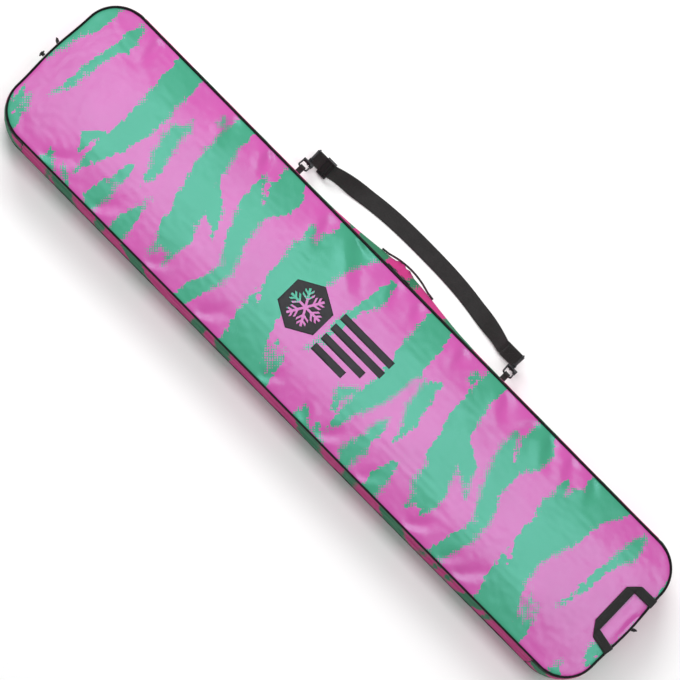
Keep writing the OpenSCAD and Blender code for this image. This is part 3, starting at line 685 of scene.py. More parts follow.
def puff(sheets):
    """Blows up the sheets, held at their seams and cut slightly too full, and returns their points."""
    starts, v, f, pin, full = [], [], [], [], []
    n = 0
    for verts, faces, edge, fullness in sheets:
        starts.append(n)
        v.append(verts)
        f += [tuple(i + n for i in q) for q in faces]
        pin.append(edge)
        full.append(fullness)
        n += len(verts)
    ob = make("sim", np.concatenate(v), f, [])
    hold = ob.vertex_groups.new(name="hold")
    hold.add(np.flatnonzero(np.concatenate(pin)).tolist(), 1.0, "REPLACE")
    ease = ob.vertex_groups.new(name="ease")
    w = np.concatenate(full)
    for tenth in range(11):
        ids = np.flatnonzero(np.round(w * 10) == tenth)
        if len(ids):
            ease.add(ids.tolist(), tenth / 10, "REPLACE")
    c = ob.modifiers.new("cloth", "CLOTH")
    for key, value in CLOTH.items():
        setattr(c.settings, key, value)
    c.settings.effector_weights.gravity = 0
    c.collision_settings.use_collision = False
    c.collision_settings.use_self_collision = False
    c.point_cache.frame_start = 1
    c.point_cache.frame_end = PUFF_FRAMES
    scene = bpy.context.scene
    for k in range(1, PUFF_FRAMES + 1):
        scene.frame_set(k)
    co = read_points(ob.evaluated_get(bpy.context.evaluated_depsgraph_get()).data)
    scene.frame_set(1)
    bpy.data.objects.remove(ob)
    return [co[a:a + len(s[0])] for a, s in zip(starts, sheets)]


def gentle(t):
    """A soft step from 0 to 1."""
    t = np.clip(t, 0, 1)
    return t * t * (3 - 2 * t)


def quilting(along):
    """1 on a quilting line, fading to 0 between the lines."""
    half = QUILT_PITCH / 2
    return np.exp(-(np.abs(np.mod(along + half, QUILT_PITCH) - half) / QUILT_HALF) ** 2)


def lid_fullness():
    """How much too large the front panel's cloth is cut, by place: most near its edge, in waves along it."""
    near = 1 - gentle((lid_in - 15) / 90)
    return near * (0.55 + 0.45 * np.sin(lid_xy[:, 0] / 83.0) * np.sin(lid_xy[:, 0] / 37.0 + 1))


sheets = [(lid_top, lid_faces, lid_edge, np.clip(lid_fullness(), 0, 1))]
for k in PANELS:
    st, s, zs, v, faces, edge = strips[k]
    sheets.append((v, faces, edge, np.full(len(v), 0.45)))
puffed = puff(sheets)

# folds in the front panel: valley lines x0, y0, x1, y1, half width, depth
FOLDS = [
    (-690, 174, -676, 112, 10, 2.4), (-470, 174, -452, 104, 11, 2.6), (-374, 174, -346, 118, 9, 3.6),
    (-192, 166, -166, 82, 12, 2.6), (-128, 186, -34, 82, 15, 4.4), (-84, 172, -58, 130, 11, 2.0),
    (2, 174, 22, 112, 11, 2.6), (64, 174, 78, 122, 10, 2.0), (192, 174, 206, 122, 10, 2.2),
    (312, 174, 352, 112, 12, 2.8), (404, 174, 382, 118, 10, 2.2), (440, 174, 484, 108, 12, 3.0),
    (502, 174, 534, 112, 11, 2.6), (562, 174, 592, 122, 10, 2.0),
    (-690, -174, -618, -112, 13, 2.8), (-540, -174, -500, -118, 11, 2.6),
    (-382, -174, -350, -126, 11, 2.4), (-242, -174, -198, -118, 12, 2.6), (-62, -174, -28, -122, 11, 2.4),
    (62, -174, 40, -128, 10, 2.0), (102, -174, 142, -118, 11, 2.6), (222, -174, 242, -128, 11, 2.2),
    (352, -174, 402, -118, 12, 2.8), (452, -174, 472, -128, 10, 2.2), (492, -174, 542, -108, 12, 2.8),
    (819, 60, 817, -40, 5, 3.4),
]
# the folds along the zip side are this much deeper than drawn
ZIP_SIDE_DEEPER = 1.3


def folded(x, y):
    """Height to add for the listed folds: a valley with a soft ridge beside it."""
    h = np.zeros(len(x))
    for x0, y0, x1, y1, w, d in FOLDS:
        dx, dy = x1 - x0, y1 - y0
        far = math.hypot(dx, dy)
        t = ((x - x0) * dx + (y - y0) * dy) / far ** 2
        side = ((x - x0) * dy - (y - y0) * dx) / far
        along = gentle((t + 0.1) / 0.3) * (1 - gentle((t - 0.35) / 0.75))
        valley, ridge = np.exp(-(side / w) ** 2), np.exp(-((side - 1.7 * w) / (1.2 * w)) ** 2)
        h += (ZIP_SIDE_DEEPER if y0 > 0 else 1.0) * along * (-d * valley + 0.55 * d * ridge)
    return h


def under_handle(x, y):
    """1 where the tail handle lies on the front panel."""
    return gentle((x - 740) / 12) * gentle((y + 85) / 14) * gentle((105 - y) / 14)


# height of the front panel's lining, and of the same at its rim
LID_UNDER, LID_RIM_UNDER = 109.6, 115.0


def build_lid():
    """The front panel: the puffed sheet with its folds, closed by a quilted lining below."""
    x, y = lid_xy.T
    move = puffed[0] - lid_top
    move[:, 2] += folded(x, y)
    move[:, 2] = np.clip(move[:, 2], -6.5, 7 - 6.9 * under_handle(x, y))
    move[:, :2] = np.clip(move[:, :2], -3, 3)
    move *= gentle((lid_in - 1.8) / 9)[:, None]
    top = lid_top + move
    flat = LID_UNDER + 1.6 * quilting(x) + 0.5 * np.sin(x / 19) * np.sin(y / 23)
    rim = LID_RIM_UNDER + (LID_UNDER + 0.6 - LID_RIM_UNDER) * gentle((lid_in - 1.8) / 8.5)
    below = np.column_stack([lid_xy, np.minimum(np.where(lid_in < 10, rim, flat), top[:, 2] - 0.9)])
    v, f, mi = shell(top, below, lid_faces)
    x, y = np.tile(lid_xy, (2, 1)).T
    attrs = {"fab": fabric(x, y), "print": print_field(x, y)}
    ob = make("front_panel", v, f, [M_PRINT, M_LINING], attrs, mi)
    subdivide(ob)
    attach(ob, "lid")
    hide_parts("lid_skin", "lid_foam", "lid_lining")
    return ob


# height of the back panel's lining at its rim and elsewhere, and how far its print is shifted
BACK_RIM_TOP, BACK_TOP, BACK_PRINT_SHIFT = 3.9, 8.2, 190.0


def build_back():
    """The back panel, flat below and quilted above."""
    xy, faces, _ = panel_sheet(1.9)
    x, y = xy.T
    d = inset_of(x, y)
    low = np.column_stack([xy, 3.0 * np.exp(-((d - 1.9) / 3.2) ** 2) * (d < 16)])
    up = BACK_TOP - 1.5 * quilting(x) + 0.3 * np.sin(x / 21) * np.sin(y / 17)
    top = np.column_stack([xy, BACK_RIM_TOP + (up - BACK_RIM_TOP) * gentle((d - 1.9) / 9)])
    v, f, mi = shell(low, top, [q[::-1] for q in faces])
    attrs = {"fab": fabric(v[:, 0], v[:, 1]), "print": print_field(v[:, 0] + BACK_PRINT_SHIFT, -v[:, 1])}
    ob = make("back_panel", v, f, [M_GUSSET, M_LINING], attrs, mi)
    subdivide(ob)
    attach(ob, "base")
    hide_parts("back_skin", "back_foam", "back_lining")


# the crumpled patch: its middle and half size along the bag and upwards, and how far it stands out
CRUMPLE_X, CRUMPLE_Z, CRUMPLE_HALF_X, CRUMPLE_HALF_Z, CRUMPLE_OUT = -14.0, 84.0, 23.0, 15.0, 5.0


def crumple(ob, outline_y):
    """Stands a small patch of the outer fabric under the side handle up in crumpled folds."""
    co = read_points(ob.data)
    x, y, z = co.T
    face = outline_y + wall_out(np.column_stack([x, y, 0 * x, 0 * x + 1]), z)
    middle = np.exp(-((x - CRUMPLE_X) / CRUMPLE_HALF_X) ** 4 - ((z - CRUMPLE_Z) / CRUMPLE_HALF_Z) ** 4)
    folds = np.sin(x / 3.1 + 1.3 * np.sin(z / 4)) * np.sin(z / 3.7 + x / 7)
    co[:, 1] += middle * (y > face - 3.5) * (CRUMPLE_OUT + 3.0 * folds)
    ob.data.vertices.foreach_set("co", (co * MM).ravel())
    ob.data.update()


def gusset_limits(name, v):
    """How far each point of a gusset panel may go in and out, so that hardware and handles stay clear."""
    x, y, z = v.T
    if name == "hinge":
        return -2.4, 3.2
    if name != "zip":
        by_tab = np.exp(-(y / 50) ** 2)
        return -1.2 + 0.9 * by_tab, 2.4 - 2.0 * by_tab
    sewn = np.exp(-((np.abs(x + STRAP_SHIFT) - HOOK_X) / 16) ** 2) + np.exp(-((np.abs(x) - 64) / 22) ** 2)
    room = 2.4 - 2.3 * np.clip(1.4 * sewn, 0, 1)
    return -2.4 + 1.8 * np.exp(-(x / 130) ** 2), np.where((np.abs(x) < 54) & (z > 60), 0.4, room)


WALL_THICK, WALL_EDGE_THICK, WALL_LEAST_THICK = 7.4, 1.4, 4.6


def build_gusset(name, index, shift):
    """One gusset panel; index tells its sheet, and shift where its print starts."""
    st, s, zs, v, faces, _ = strips[name]
    n, m = len(st), len(zs)
    out = np.repeat(np.column_stack([st[:, 2:], np.zeros(n)]), m, axis=0)
    move = puffed[index] - v
    push = (move * out).sum(1)
    x, z = v[:, 0], v[:, 2]
    if name == "hinge":
        push += 1.3 * (0.6 + 0.4 * np.sin(x / 61 + 1)) * np.sin(z / 5.2 + 1.6 * np.sin(x / 47) + x / 90)
        push += 1.0 * np.sin(z / 7.5 - x / 34 + 2 * np.sin(x / 83))
    push = np.clip(push, *gusset_limits(name, v))
    calm = gentle((z - WALL_LOW) / 12) * gentle((zs[-1] - z) / 12)
    rise = np.clip(move[:, 2], -2, 2)[:, None] * np.array([0, 0, 1.0])
    outer = v + calm[:, None] * (push[:, None] * out + rise)
    rows = np.tile(np.arange(m), n)
    side = np.minimum(rows, m - 1 - rows)
    thick = np.maximum(WALL_THICK * gentle((side + 0.35) / 1.6), WALL_LEAST_THICK)
    thick = np.where(side == 0, WALL_EDGE_THICK, thick) - 1.2 * np.repeat(quilting(s), m) * (side > 1)
    sv, f, _ = shell(outer, outer - out * thick[:, None], faces)
    mi = [0] * len(faces) + [1] * (len(f) - len(faces))
    fab = fabric(np.tile(np.repeat(s, m) + shift, 2), np.tile(z - 58 - 26 * np.sin(shift), 2))
    if name in PATCHES:
        prt = np.max([half - np.abs(x - at - lean * (60 - z)) for at, half, lean in PATCHES[name]], axis=0)
        prt = np.tile(prt, 2)
    else:
        prt = print_field(fab[:, 0] / MM, fab[:, 1] / MM * 1.25)
    fab[:, 2] = index * 50.0 * MM
    ob = make("gusset_" + name + "_panel", sv, f, [M_GUSSET, M_LINING], {"fab": fab, "print": prt}, mi)
    subdivide(ob)
    if name == "zip":
        crumple(ob, st[:, 1].max())
    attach(ob, "base")
    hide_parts(*[f"gusset_{name}_{part}" for part in ("skin", "foam", "lining")])


def build_seams():
    """Binding that closes the four upright seams between the gusset's panels."""
    parts = Parts()
    zs = np.linspace(WALL_LOW + 2.4, ZIP_WALL_TOP - 3, 15)
    for row in (OUT[TAIL_END], OUT[ZIP_END - 1], HINGE[0], HINGE[-1]):
        depth = np.concatenate([wall_out(row[None], z) for z in zs]) - WALL_THICK / 2
        path = np.column_stack([row[0] + row[2] * depth, row[1] + row[3] * depth, zs])
        v, f = tube(path, 2.7, 10, up=(1, 0, 0))
        parts.add(v, f, fabric(np.repeat(zs, 10), np.tile(np.linspace(0, 17, 10), len(zs))))
    ob = parts.build("gusset_seam_binding", [M_BIND])
    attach(ob, "base")


# ---- the printed mark: a hexagon with a snowflake cut out of it, and four plain bars ----
MARK_X, MARK_Y, HEX_FLAT, MARK_STEP = -97.0, -4.0, 51.0, 4.0
# each bar's right end and height on the panel; all start at the same x
BAR_X, BAR_HALF, BARS = -31.0, 8.5, [(110, 37), (110, 9), (82, -19), (54, -47)]


def snowflake():
    """Outline of a six-armed snowflake with two pairs of twigs on each arm."""
    h, lean, w = 2.6, 0.9, 2.7
    half = [(math.sqrt(3) * h, h)]
    for at, reach in ((16.0, 12.5), (27.0, 9.5)):
        half += [(at - w + lean * h, h), (at - w + lean * reach, reach), (at + w + lean * reach, reach),
                 (at + w + lean * h, h)]
    half.append((40.0, h))
    arm = [(x, -y) for x, y in half] + half[:0:-1]
    turns = [(math.cos(k * math.pi / 3), math.sin(k * math.pi / 3)) for k in range(6)]
    return [(MARK_X + x * c - y * s, MARK_Y + x * s + y * c) for c, s in turns for x, y in arm]


def within(poly, x, y):
    """Which points lie inside a polygon."""
    hit = np.zeros(np.shape(x), bool)
    for (ax, ay), (bx, by) in zip(poly, poly[1:] + poly[:1]):
        if ay != by:
            hit ^= ((ay > y) != (by > y)) & (x < (bx - ax) * (y - ay) / (by - ay) + ax)
    return hit


def build_mark(lid):
    """Lays the mark on the front panel as a thin closed mesh."""
    far = HEX_FLAT / math.cos(math.pi / 6)
    turns = np.radians(np.arange(30, 390, 60))
    hexagon = [(MARK_X + far * math.cos(a), MARK_Y + far * math.sin(a)) for a in turns]
    flake = snowflake()
    bars = [[(BAR_X, y - BAR_HALF), (x, y - BAR_HALF), (x, y + BAR_HALF), (BAR_X, y + BAR_HALF)]
            for x, y in BARS]
    outlines = [hexagon, flake] + bars
    pts, edges = [], []
    for poly in outlines:
        start = len(pts)
        for (ax, ay), (bx, by) in zip(poly, poly[1:] + poly[:1]):
            n = max(1, int(math.hypot(bx - ax, by - ay) / MARK_STEP))
            pts += [(ax + (bx - ax) * k / n, ay + (by - ay) * k / n) for k in range(n)]
        edges += [(k, k + 1) for k in range(start, len(pts) - 1)] + [(len(pts) - 1, start)]
    grid = np.meshgrid(np.arange(-156, 112, MARK_STEP), np.arange(-62, 56, MARK_STEP), indexing="ij")
    X, Y = (a.ravel() for a in grid)
    rim = np.array(pts)
    clear = np.array([np.min(np.hypot(rim[:, 0] - x, rim[:, 1] - y)) > 2.2 for x, y in zip(X, Y)])
    pts += list(zip(X[clear], Y[clear]))
    co, _, tris, _, _, _ = delaunay_2d_cdt([Vector(q) for q in pts], edges, [], 0, 1e-5)
    xy = np.array([(c[0], c[1]) for c in co])
    mid = np.array([xy[list(t)].mean(0) for t in tris])
    inked = within(hexagon, *mid.T) & ~within(flake, *mid.T)
    for poly in outlines[2:]:
        inked |= within(poly, *mid.T)
    faces = [tuple(t) for t, k in zip(tris, inked) if k]
    used = sorted({i for t in faces for i in t})
    number = {i: k for k, i in enumerate(used)}
    faces = [tuple(number[i] for i in t) for t in faces]
    xy = xy[used]
    a, b, c = (xy[[t[k] for t in faces]] for k in range(3))
    ccw = (b[:, 0] - a[:, 0]) * (c[:, 1] - a[:, 1]) > (b[:, 1] - a[:, 1]) * (c[:, 0] - a[:, 0])
    faces = [t if k else t[::-1] for t, k in zip(faces, ccw)]
    me = lid.data
    tree = BVHTree.FromPolygons([v.co for v in me.vertices], [p.vertices[:] for p in me.polygons])
    down = Vector((0, 0, -1))
    z = np.array([tree.ray_cast(Vector((x * MM, y * MM, 1.0)), down)[0].z / MM for x, y in xy])
    v, f, _ = shell(np.column_stack([xy, z + 0.12]), np.column_stack([xy, z - 0.1]), faces)
    ob = make("printed_mark", v, f, [M_INK], {"fab": fabric(v[:, 0], v[:, 1])})
    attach(ob, "lid")


build_mark(build_lid())
build_back()
for i, (panel, shift) in enumerate((("tail", 410.0), ("zip", 8.0), ("nose", 620.0), ("hinge", 240.0))):
    build_gusset(panel, i + 1, shift)
build_seams()

# ---- piping ----
LOOP, LOOP_S = resample(np.concatenate([OUT[:-1], HINGE]), FINE_STEP)
CORD_SIDES = 14


def build_piping(name, node, body, z, flange):
    """A corded seam: the cord, and the flange of binding that runs into the seam."""
    st, s = LOOP[:-1], LOOP_S[:-1]
    wob = 1 + 0.035 * np.sin(s / 5.1) + 0.03 * np.sin(s / 2.3 + 1)
    p = level(st[:, :2], z)
    v, f = tube(p, PIPE_R * 0.985 * wob, CORD_SIDES, closed=True)
    girth = np.arange(CORD_SIDES) * 2 * math.pi / CORD_SIDES * PIPE_R
    parts = Parts()
    parts.add(v, f, fabric(np.repeat(s, CORD_SIDES), np.tile(girth, len(st))))
    m = len(flange)
    out = np.column_stack([st[:, 2:], np.zeros(len(st))])
    g = np.stack([p - out * d + [0, 0, dz] for d, dz in flange], axis=1).reshape(-1, 3)
    a = np.arange(len(g)).reshape(len(st), m)
    a = np.concatenate([a, a[:1]])
    faces = [(a[i, j], a[i + 1, j], a[i + 1, (j + 1) % m], a[i, (j + 1) % m])
             for i in range(len(st)) for j in range(m)]
    parts.add(g, faces, fabric(np.repeat(s, m), np.tile([0, 3, 4, 7], len(st))))
    ob = parts.build(name, [M_BIND])
    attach(ob, body)
    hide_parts(node)


FRONT_FLANGE = [(0.6, -1.2), (5.0, -2.4), (5.0, -3.0), (0.6, -2.0)]
BOTTOM_FLANGE = [(0.6, 1.2), (5.0, 1.6), (5.0, 2.2), (0.6, 2.0)]
build_piping("front_piping", "lid_piping", "lid", SEAM_Z, FRONT_FLANGE)
build_piping("bottom_piping", "back_piping", "base", BACK_PIPE_Z, BOTTOM_FLANGE)

# ---- zip ----
OPEN, OPEN_S = resample(OUT, FINE_STEP)


def zip_rows(st):
    """Where the zip's middle line runs beside the outline."""
    return st[:, :2] + st[:, 2:] * (0.28 * bulge(st[:, 3]))[:, None]


def build_tape(name, node, body, z0, z1):
    """One of the zip's tapes, with a row of stitches near each edge."""
    parts = Parts()
    zs = np.linspace(z0, z1, 4)
    c = zip_rows(OPEN)
    sec = [(-0.28, z) for z in zs] + [(0.28, z) for z in zs[::-1]]
    k = len(sec)
    rows = [level(c + OPEN[:, 2:] * o, z) for o, z in sec]
    f = grid_faces(len(c), k, True) + [q[::-1] for q in caps(len(c), k)]
    fab = fabric(np.repeat(OPEN_S, k), np.tile([z for _, z in sec], len(c)))
    parts.add(np.stack(rows, axis=1).reshape(-1, 3), f, fab)
    for z in (z0 + 0.7, z1 - 0.7):
        parts.sew(level(c + OPEN[:, 2:] * 0.3, z), 4.2, 3.0, 0.22)
    ob = parts.build(name, [M_TAPE, M_THREAD])
    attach(ob, body)
    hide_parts(node)


COIL_PITCH, COIL_REACH, COIL_WIRE, COIL_STEPS = 2.8, 0.62, 0.27, 8


def build_coil(name, node, body, z, phase):
    """Coil teeth: one continuous wire wound into flat loops."""
    t = np.arange(int(OPEN_S[-1] / COIL_PITCH) * COIL_STEPS) / COIL_STEPS
    s = np.minimum(t * COIL_PITCH + phase, OPEN_S[-1])
    st = np.stack([np.interp(s, OPEN_S, OPEN[:, j]) for j in range(4)], axis=1)
    a = 2 * math.pi * t
    rise = np.sign(np.cos(a)) * np.abs(np.cos(a)) ** 0.6
    line = zip_rows(st) + st[:, 2:] * (COIL_REACH * np.sin(a))[:, None]
    v, f = tube(np.column_stack([line, z + COIL_REACH * rise]), COIL_WIRE, 5, up=(0.02, 0.01, 1))
    ob = make(name, v, f, [M_COIL])
    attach(ob, body)
    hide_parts(node)


build_tape("zip_lower_tape", "zip_tape_lower", "base", ZIP_WALL_TOP - 0.6, CHAIN_Z - 2.4)
build_tape("zip_upper_tape", "zip_tape_upper", "lid", CHAIN_Z + 2.4, SEAM_Z - PIPE_R + 0.5)
build_coil("zip_lower_coil", "zip_coil_lower", "base", CHAIN_Z - 1.6, 0.0)
build_coil("zip_upper_coil", "zip_coil_upper", "lid", CHAIN_Z + 1.6, 1.4)

# ---- tail handle ----
PIVOT = np.array([HALF_L - 2, 0, SEAM_Z + 3.4])
SLOPE = math.radians(3)


def on_handle(p):
    """From the handle's own plane to the bag."""
    p = np.asarray(p, float)
    x, z = p[:, 0], p[:, 2]
    return PIVOT + np.column_stack([x * math.cos(SLOPE) + z * math.sin(SLOPE), p[:, 1],
                                    -x * math.sin(SLOPE) + z * math.cos(SLOPE)])


def prism(poly, z0, z1, grain):
    """A flat polygon with thickness, its edge a little rounded, its cloth turned by grain."""
    poly = np.asarray(poly, float)
    inward = unit(poly.mean(0) - poly)
    n = len(poly)
    levels = [(0.35, z0), (0.0, z0 + 0.3), (0.0, z1 - 0.3), (0.35, z1)]
    v = np.concatenate([level(poly + inward * ins, z) for ins, z in levels])
    f = grid_faces(4, n, True) + caps(4, n)
    c, s = math.cos(grain), math.sin(grain)
    return v, f, fabric(v[:, 0] * c + v[:, 1] * s, -v[:, 0] * s + v[:, 1] * c)


def corner_line(path, k, wide):
    """Left and right edge offsets of the webbing at a path point, mitred at corners."""
    legs = [path[j + 1] - path[j] for j in (k - 1, k) if 0 <= j < len(path) - 1]
    norms = [np.array([-d[1], d[0]]) / np.linalg.norm(d) for d in legs]
    if len(norms) == 1:
        w = norms[0] * wide / 2
    else:
        b = norms[0] + norms[1]
        w = b / (b @ b) * wide
    return w, -w


def mitred(path, wide, thick, folds):
    """Flat webbing along a path, mitred at its corners and cut off at its folds, as one fine grid."""
    path = np.asarray(path, float)
    rows, us = [], []
    cross = np.linspace(-0.5, 0.5, 9)
    s = run(path)
    for k in range(len(path) - 1):
        a, b = path[k], path[k + 1]
        na, nb = corner_line(path, k, wide), corner_line(path, k + 1, wide)
        length = np.linalg.norm(b - a)
        for t in np.linspace(0, 1, max(4, int(length / 3)) + 1)[(1 if k else 0):]:
            rows.append([a + na[i] * (1 - t) + nb[i] * t + (b - a) * t for i in (0, 1)])
            us.append(s[k] + t * length)
    left, right = np.array(rows).transpose(1, 0, 2)[:, :, None]
    mid = left * (0.5 - cross)[:, None] + right * (0.5 + cross)[:, None]
    for a, b in folds:
        a, b = np.array(a, float), np.array(b, float)
        out = np.array([b[1] - a[1], a[0] - b[0]]) / np.linalg.norm(b - a)
        out *= -np.sign(out @ (path.mean(0) - a))
        mid -= 0.98 * np.maximum((mid - a) @ out, 0)[..., None] * out
    n, m = mid.shape[:2]
    half = np.full((n, m, 1), thick / 2)
    half[:, [0, -1]] *= 0.35
    up = np.concatenate([mid, half], axis=2).reshape(-1, 3)
    v, f, _ = shell(up, up * [1, 1, -1], grid_faces(n, m))
    return v, f, fabric(np.tile(np.repeat(us, m), 2), np.tile(np.tile(cross * wide, n), 2))


# the tail handle in its own plane: x towards the tail, y across the bag
TAIL_WEB, TAIL_THICK = 20.6, 1.7
HANDLE_PATH = [(2.0, 76), (-53.5, 74.4), (-52.8, -46.4), (2.0, -56.5)]
HANDLE_FOLDS = [((-41, 85), (-64, 62)), ((-62, -32), (-44, -57))]
HANDLE_FLAPS = [[(-43.4, 64.4), (-41.3, 84.2), (-63.3, 62.3)],
                [(-43.2, -36.6), (-61.5, -32.6), (-44.4, -56.5)]]
HANDLE_SEAMS = [[(-2, 82), (-34, 81)], [(-2, 69), (-32, 67.5)], [(-60, 56), (-59.5, -26)],
                [(-46, 52), (-45.6, -24)], [(-36, -54), (-2, -62)], [(-30, -41.5), (-2, -48)]]


def build_handle():
    """The tail handle: webbing folded at its two corners, sewn into the end seam."""
    parts = Parts()
    v, f, fab = mitred(HANDLE_PATH, TAIL_WEB, TAIL_THICK, HANDLE_FOLDS)
    parts.add(on_handle(v), f, fab)
    for flap in HANDLE_FLAPS:
        v, f, fab = prism(flap, 0.7, 1.25, 0.8)
        parts.add(on_handle(v), f, fab)
    for line in HANDLE_SEAMS:
        v, f = stitches([(x, y, 0.9) for x, y in line], 3.4, 2.5, 0.22)
        parts.add(on_handle(v), f, None, 1)
    ob = parts.build("tail_handle_webbing", [M_WEB, M_THREAD])
    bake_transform(ob)
    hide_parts("tail_handle")


build_handle()

# ---- side handle: webbing on edge, sewn down at both ends ----
HANDLE_Z, HANDLE_WEB, HANDLE_THICK = 80.0, 16.0, 1.7
GRIP_Y, GRIP_BOW, GRIP_HALF = 204.8, 8.0, 52.0
PAD_X, PAD_Y, PAD_LEAN, PAD_FROM, PAD_TO = 64.0, 202.6, math.radians(7), 56.5, 72.0


def grip_out(x):
    """Y of the free grip's middle line."""
    return GRIP_Y + GRIP_BOW * (1 - (np.asarray(x, float) / GRIP_HALF) ** 2)


def pad_out(x):
    """Y of the sewn end's middle line."""
    return PAD_Y - (np.asarray(x, float) - PAD_X) * math.tan(PAD_LEAN)


def build_side_handle():
    """The side handle in two halves, each sewn down at its end and bending beside it."""
    for side, tag in ((-1, "nose"), (1, "tail")):
        x = np.concatenate([np.linspace(0, 51, 21), np.linspace(54, 73.5, 8)])
        y = np.interp(x, [45, 57], [grip_out(45), pad_out(57)])
        y = np.where(x <= 45, grip_out(x), np.where(x >= 57, pad_out(x), y))
        c = level(np.column_stack([side * x, y]), HANDLE_Z)
        up = np.tile([0, 0, 1.0], (len(c), 1))
        parts = Parts()
        parts.add(*band(c, up, np.cross(unit(np.gradient(c, axis=0)), up), HANDLE_WEB, HANDLE_THICK, 8))
        for z in (-6, 6):
            pts = [(side * q, pad_out(q) + 0.95, HANDLE_Z + z) for q in np.linspace(PAD_FROM, PAD_TO, 6)]
            parts.sew(pts, 2.6, 2.0, 0.25, (0, 1, 0))
        for q in (PAD_FROM, PAD_TO):
            pts = [(side * q, pad_out(q) + 0.95, HANDLE_Z + z) for z in (-6, 0, 6)]
            parts.sew(pts, 1.5, 1.2, 0.3, (0, 1, 0))
        ob = parts.build("side_handle_" + tag, [M_WEB, M_THREAD])
        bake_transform(ob)
        if side < 0:
            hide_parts("side_handle", "side_handle_ends")


build_side_handle()

# ---- webbing loops for the hooks ----
LOOP_R, LOOP_WEB, LOOP_THICK = 4.35, 13.0, 1.3


def build_hook_loops():
    """Short webbing turned round each hook's bow along a path of y and z, its end sewn to the gusset."""
    for side, tag in ((-1, "nose"), (1, "tail")):
        ang = np.radians(np.linspace(-150, 150, 22))
        ring = [(LOOP_Y + LOOP_R * math.cos(a), LOOP_Z + LOOP_R * math.sin(a)) for a in ang]
        yz = [(189.1, 46.2), (189.1, 52), (189.1, 58), (189.6, 61), (191.2, 62.4), (196.0, 62.7)] + ring
        yz += [(197.0, 65.2), (192.2, 65.1), (189.4, 65.4)]
        yz = np.array(yz)
        at = side * HOOK_X - STRAP_SHIFT
        c = np.column_stack([np.full(len(yz), at), yz])
        across = np.tile([1.0, 0, 0], (len(c), 1))
        parts = Parts()
        parts.add(*band(c, across, np.cross(unit(np.gradient(c, axis=0)), across), LOOP_WEB, LOOP_THICK, 6))
        for z in (48, 51.5, 55):
            parts.sew([(at + q, 189.85, z) for q in (-5, 0, 5)], 1.5, 1.2, 0.25, (0, 1, 0))
        ob = parts.build("hook_webbing_" + tag, [M_WEB, M_THREAD])
        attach(ob, "base")
        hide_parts("hook_loop_" + tag)


build_hook_loops()

# ---- shoulder strap ----
EYE_BAR, STRAP_W, STRAP_T, STRAP_ARCH = 60.6, 38.0, 2.0, 32.0
HOOK_ANGLE = math.radians(44)
ROLL = math.pi / 2 - HOOK_ANGLE
END_Y, END_Z = LOOP_Y + EYE_BAR * math.cos(HOOK_ANGLE), LOOP_Z - EYE_BAR * math.sin(HOOK_ANGLE)
STRAIGHT, FLAT, WRAP_R = HOOK_X - 46, 150.0, 3.6
STRAP_ACROSS = np.array([0, math.cos(ROLL), math.sin(ROLL)])
STRAP_UP = np.array([0, -math.sin(ROLL), math.cos(ROLL)])
FLOOR_GAP, DOUBLED_GAP = 1.4, 0.4


def strap_end(side):
    """The webbing from where it runs straight, round the hook's eye and back: centre, across, up."""
    w, n, out = STRAP_ACROSS, STRAP_UP, np.array([side, 0, 0])
    eye = np.array([side * HOOK_X, END_Y, END_Z])
    rows = [(np.array([side * x, END_Y, END_Z]) - WRAP_R * n, w, n)
            for x in np.linspace(STRAIGHT + 3, HOOK_X - 4, 12)]
    rows += [(eye + WRAP_R * (math.sin(a) * out - math.cos(a) * n), w, math.cos(a) * n - math.sin(a) * out)
             for a in np.radians(np.linspace(0, 180, 17))]
    lift = DOUBLED_GAP + STRAP_T - WRAP_R
    return rows + [(eye - u * out + lift * n, w, -n) for u in np.linspace(10, 38, 9)]


def strap_frames():
    """Centre, width direction and thickness direction along the shoulder webbing, nose end first."""
    rows = strap_end(-1)[::-1]
    for x in np.linspace(-STRAIGHT, STRAIGHT, 127):
        k = float(gentle((abs(x) - FLAT) / (STRAIGHT - FLAT)))
        c, s = math.cos(ROLL * k), math.sin(ROLL * k)
        y = END_Y + STRAP_ARCH * (1 - min(abs(x) / STRAIGHT, 1) ** 2.6)
        z = FLOOR_GAP + STRAP_W / 2 * s + (END_Z - FLOOR_GAP - STRAP_W / 2 * math.sin(ROLL)) * k
        n = np.array([0, -s, c])
        rows.append((np.array([x, y, z]) - WRAP_R * k * n, np.array([0, c, s]), n))
    rows += strap_end(1)
    return [np.array([r[k] for r in rows]) for k in range(3)]


def build_strap():
    """The shoulder webbing, with a sewn box and cross on its tail end."""
    c, w, n = strap_frames()
    c[:, 0] -= STRAP_SHIFT
    parts = Parts()
    parts.add(*band(c, w, n, STRAP_W, STRAP_T * 0.96, 12))
    corner = np.array([HOOK_X - STRAP_SHIFT, END_Y, END_Z])
    top = corner + (DOUBLED_GAP + 1.5 * STRAP_T - WRAP_R + 0.1) * STRAP_UP
    box = [(14, -15), (35, -15), (35, 15), (14, 15), (14, -15), (35, 15), (35, -15), (14, 15)]
    sewn = [top - np.array([u, 0, 0]) + q * STRAP_ACROSS for u, q in box]
    for a, b in zip(sewn[:-1], sewn[1:]):
        parts.sew([a, b], 3.0, 2.2, 0.25, STRAP_UP)
    ob = parts.build("shoulder_strap", [M_STRAP, M_THREAD])
    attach(ob, "strap")
    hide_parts("strap_webbing")


build_strap()

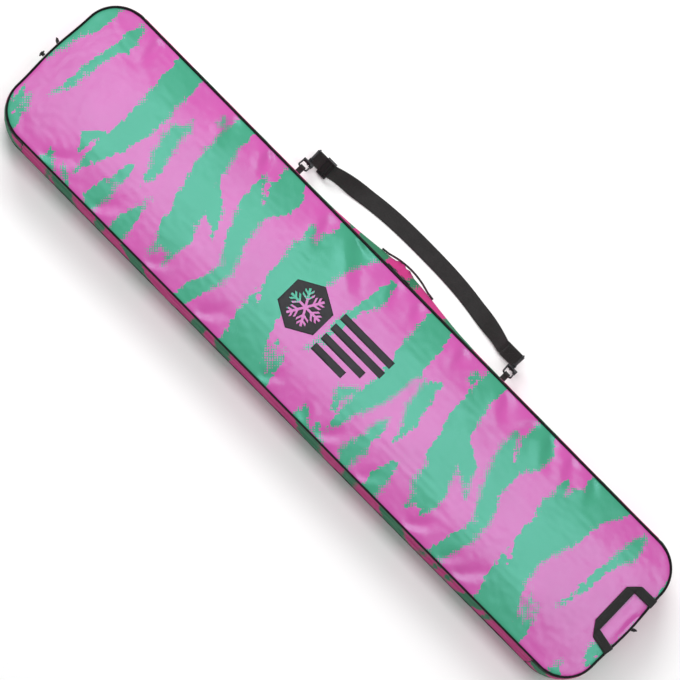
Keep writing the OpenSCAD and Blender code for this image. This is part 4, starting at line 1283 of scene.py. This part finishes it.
# ---- CAD parts that stay: their material and how far their edges are rounded ----
FINISH = {
    "zip_stops": (M_METAL, 0.4), "nose_ring": (M_METAL, 0), "ring_tab": (M_WEB, 0.3),
    "nose_tab": (M_WEB, 0.6), "tail_tab": (M_WEB, 0.6), "strap_adjuster": (M_PLASTIC, 0.8),
}
for part, width in (("slider", 0.35), ("puller", 0.3), ("eye", 0.5), ("hook", 0.5), ("gate", 0.4)):
    for end in ("nose", "tail"):
        FINISH[f"{part}_{end}"] = (M_METAL, width)
for node, (mat, width) in FINISH.items():
    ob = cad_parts[node]
    ob.data.materials.clear()
    ob.data.materials.append(mat)
    if width:
        soften(ob, width)

# ---- floor, light, camera ----
FAR = 9000.0
corners = [(-FAR, -FAR, 0), (FAR, -FAR, 0), (FAR, FAR, 0), (-FAR, FAR, 0)]
M_FLOOR = new_mat("floor_pale")
net = Net(M_FLOOR)
tone = net.noise(net.node("TexCoord").outputs["Object"], 1.5, 2.0)
net.finish(Base_Color=net.mix(tone, (0.94, 0.94, 0.94, 1), (0.96, 0.96, 0.96, 1)), Roughness=0.8)
floor = make("floor", corners, [(0, 1, 2, 3)], [M_FLOOR])
floor.location.z = -0.0004

scene = bpy.context.scene
world = bpy.data.worlds.new("studio")
scene.world = world
world.use_nodes = True
background = world.node_tree.nodes["Background"]
background.inputs["Color"].default_value = (1.0, 1.0, 1.0, 1)
background.inputs["Strength"].default_value = 0.50
world.cycles_visibility.glossy = False


def area(name, at, look, size, power, mirrored=True):
    """A soft rectangular light; mirrored tells whether glossy surfaces see it."""
    d = bpy.data.lights.new(name, "AREA")
    d.shape = "RECTANGLE"
    d.size, d.size_y = size
    d.energy = power
    ob = bpy.data.objects.new(name, d)
    scene.collection.objects.link(ob)
    ob.visible_glossy = mirrored
    ob.location = at
    ob.rotation_mode = "QUATERNION"
    ob.rotation_quaternion = (Vector(look) - Vector(at)).to_track_quat("-Z", "Y")


area("key", (-3.6, 3.3, 4.0), (0, 0, 0.05), (3.3, 2.2), 248, False)
area("top", (0.1, 0.47, 3.2), (0.1, 0.3, 0.1), (3.9, 0.8), 47)

# the camera: its tilt off vertical, what it looks at and how wide it sees there, in metres
TILT, AIM, FRAME_WIDTH = math.radians(9.2), Vector((-0.0012, 0.0, 0.118)), 1.3700
cam = bpy.data.cameras.new("camera")
cam.lens = 135
cam.sensor_width = 36
cam.clip_end = 60
cam_ob = bpy.data.objects.new("camera", cam)
scene.collection.objects.link(cam_ob)
away = Vector((0, -math.sin(TILT), math.cos(TILT)))
right = Vector((-1, 1, 0)).cross(away).normalized()
up = away.cross(right).normalized()
turn = Matrix((right, up, away)).transposed().to_4x4()
cam_ob.matrix_world = Matrix.Translation(AIM + away * FRAME_WIDTH * cam.lens / cam.sensor_width) @ turn
scene.camera = cam_ob
scene.view_settings.view_transform = "Standard"
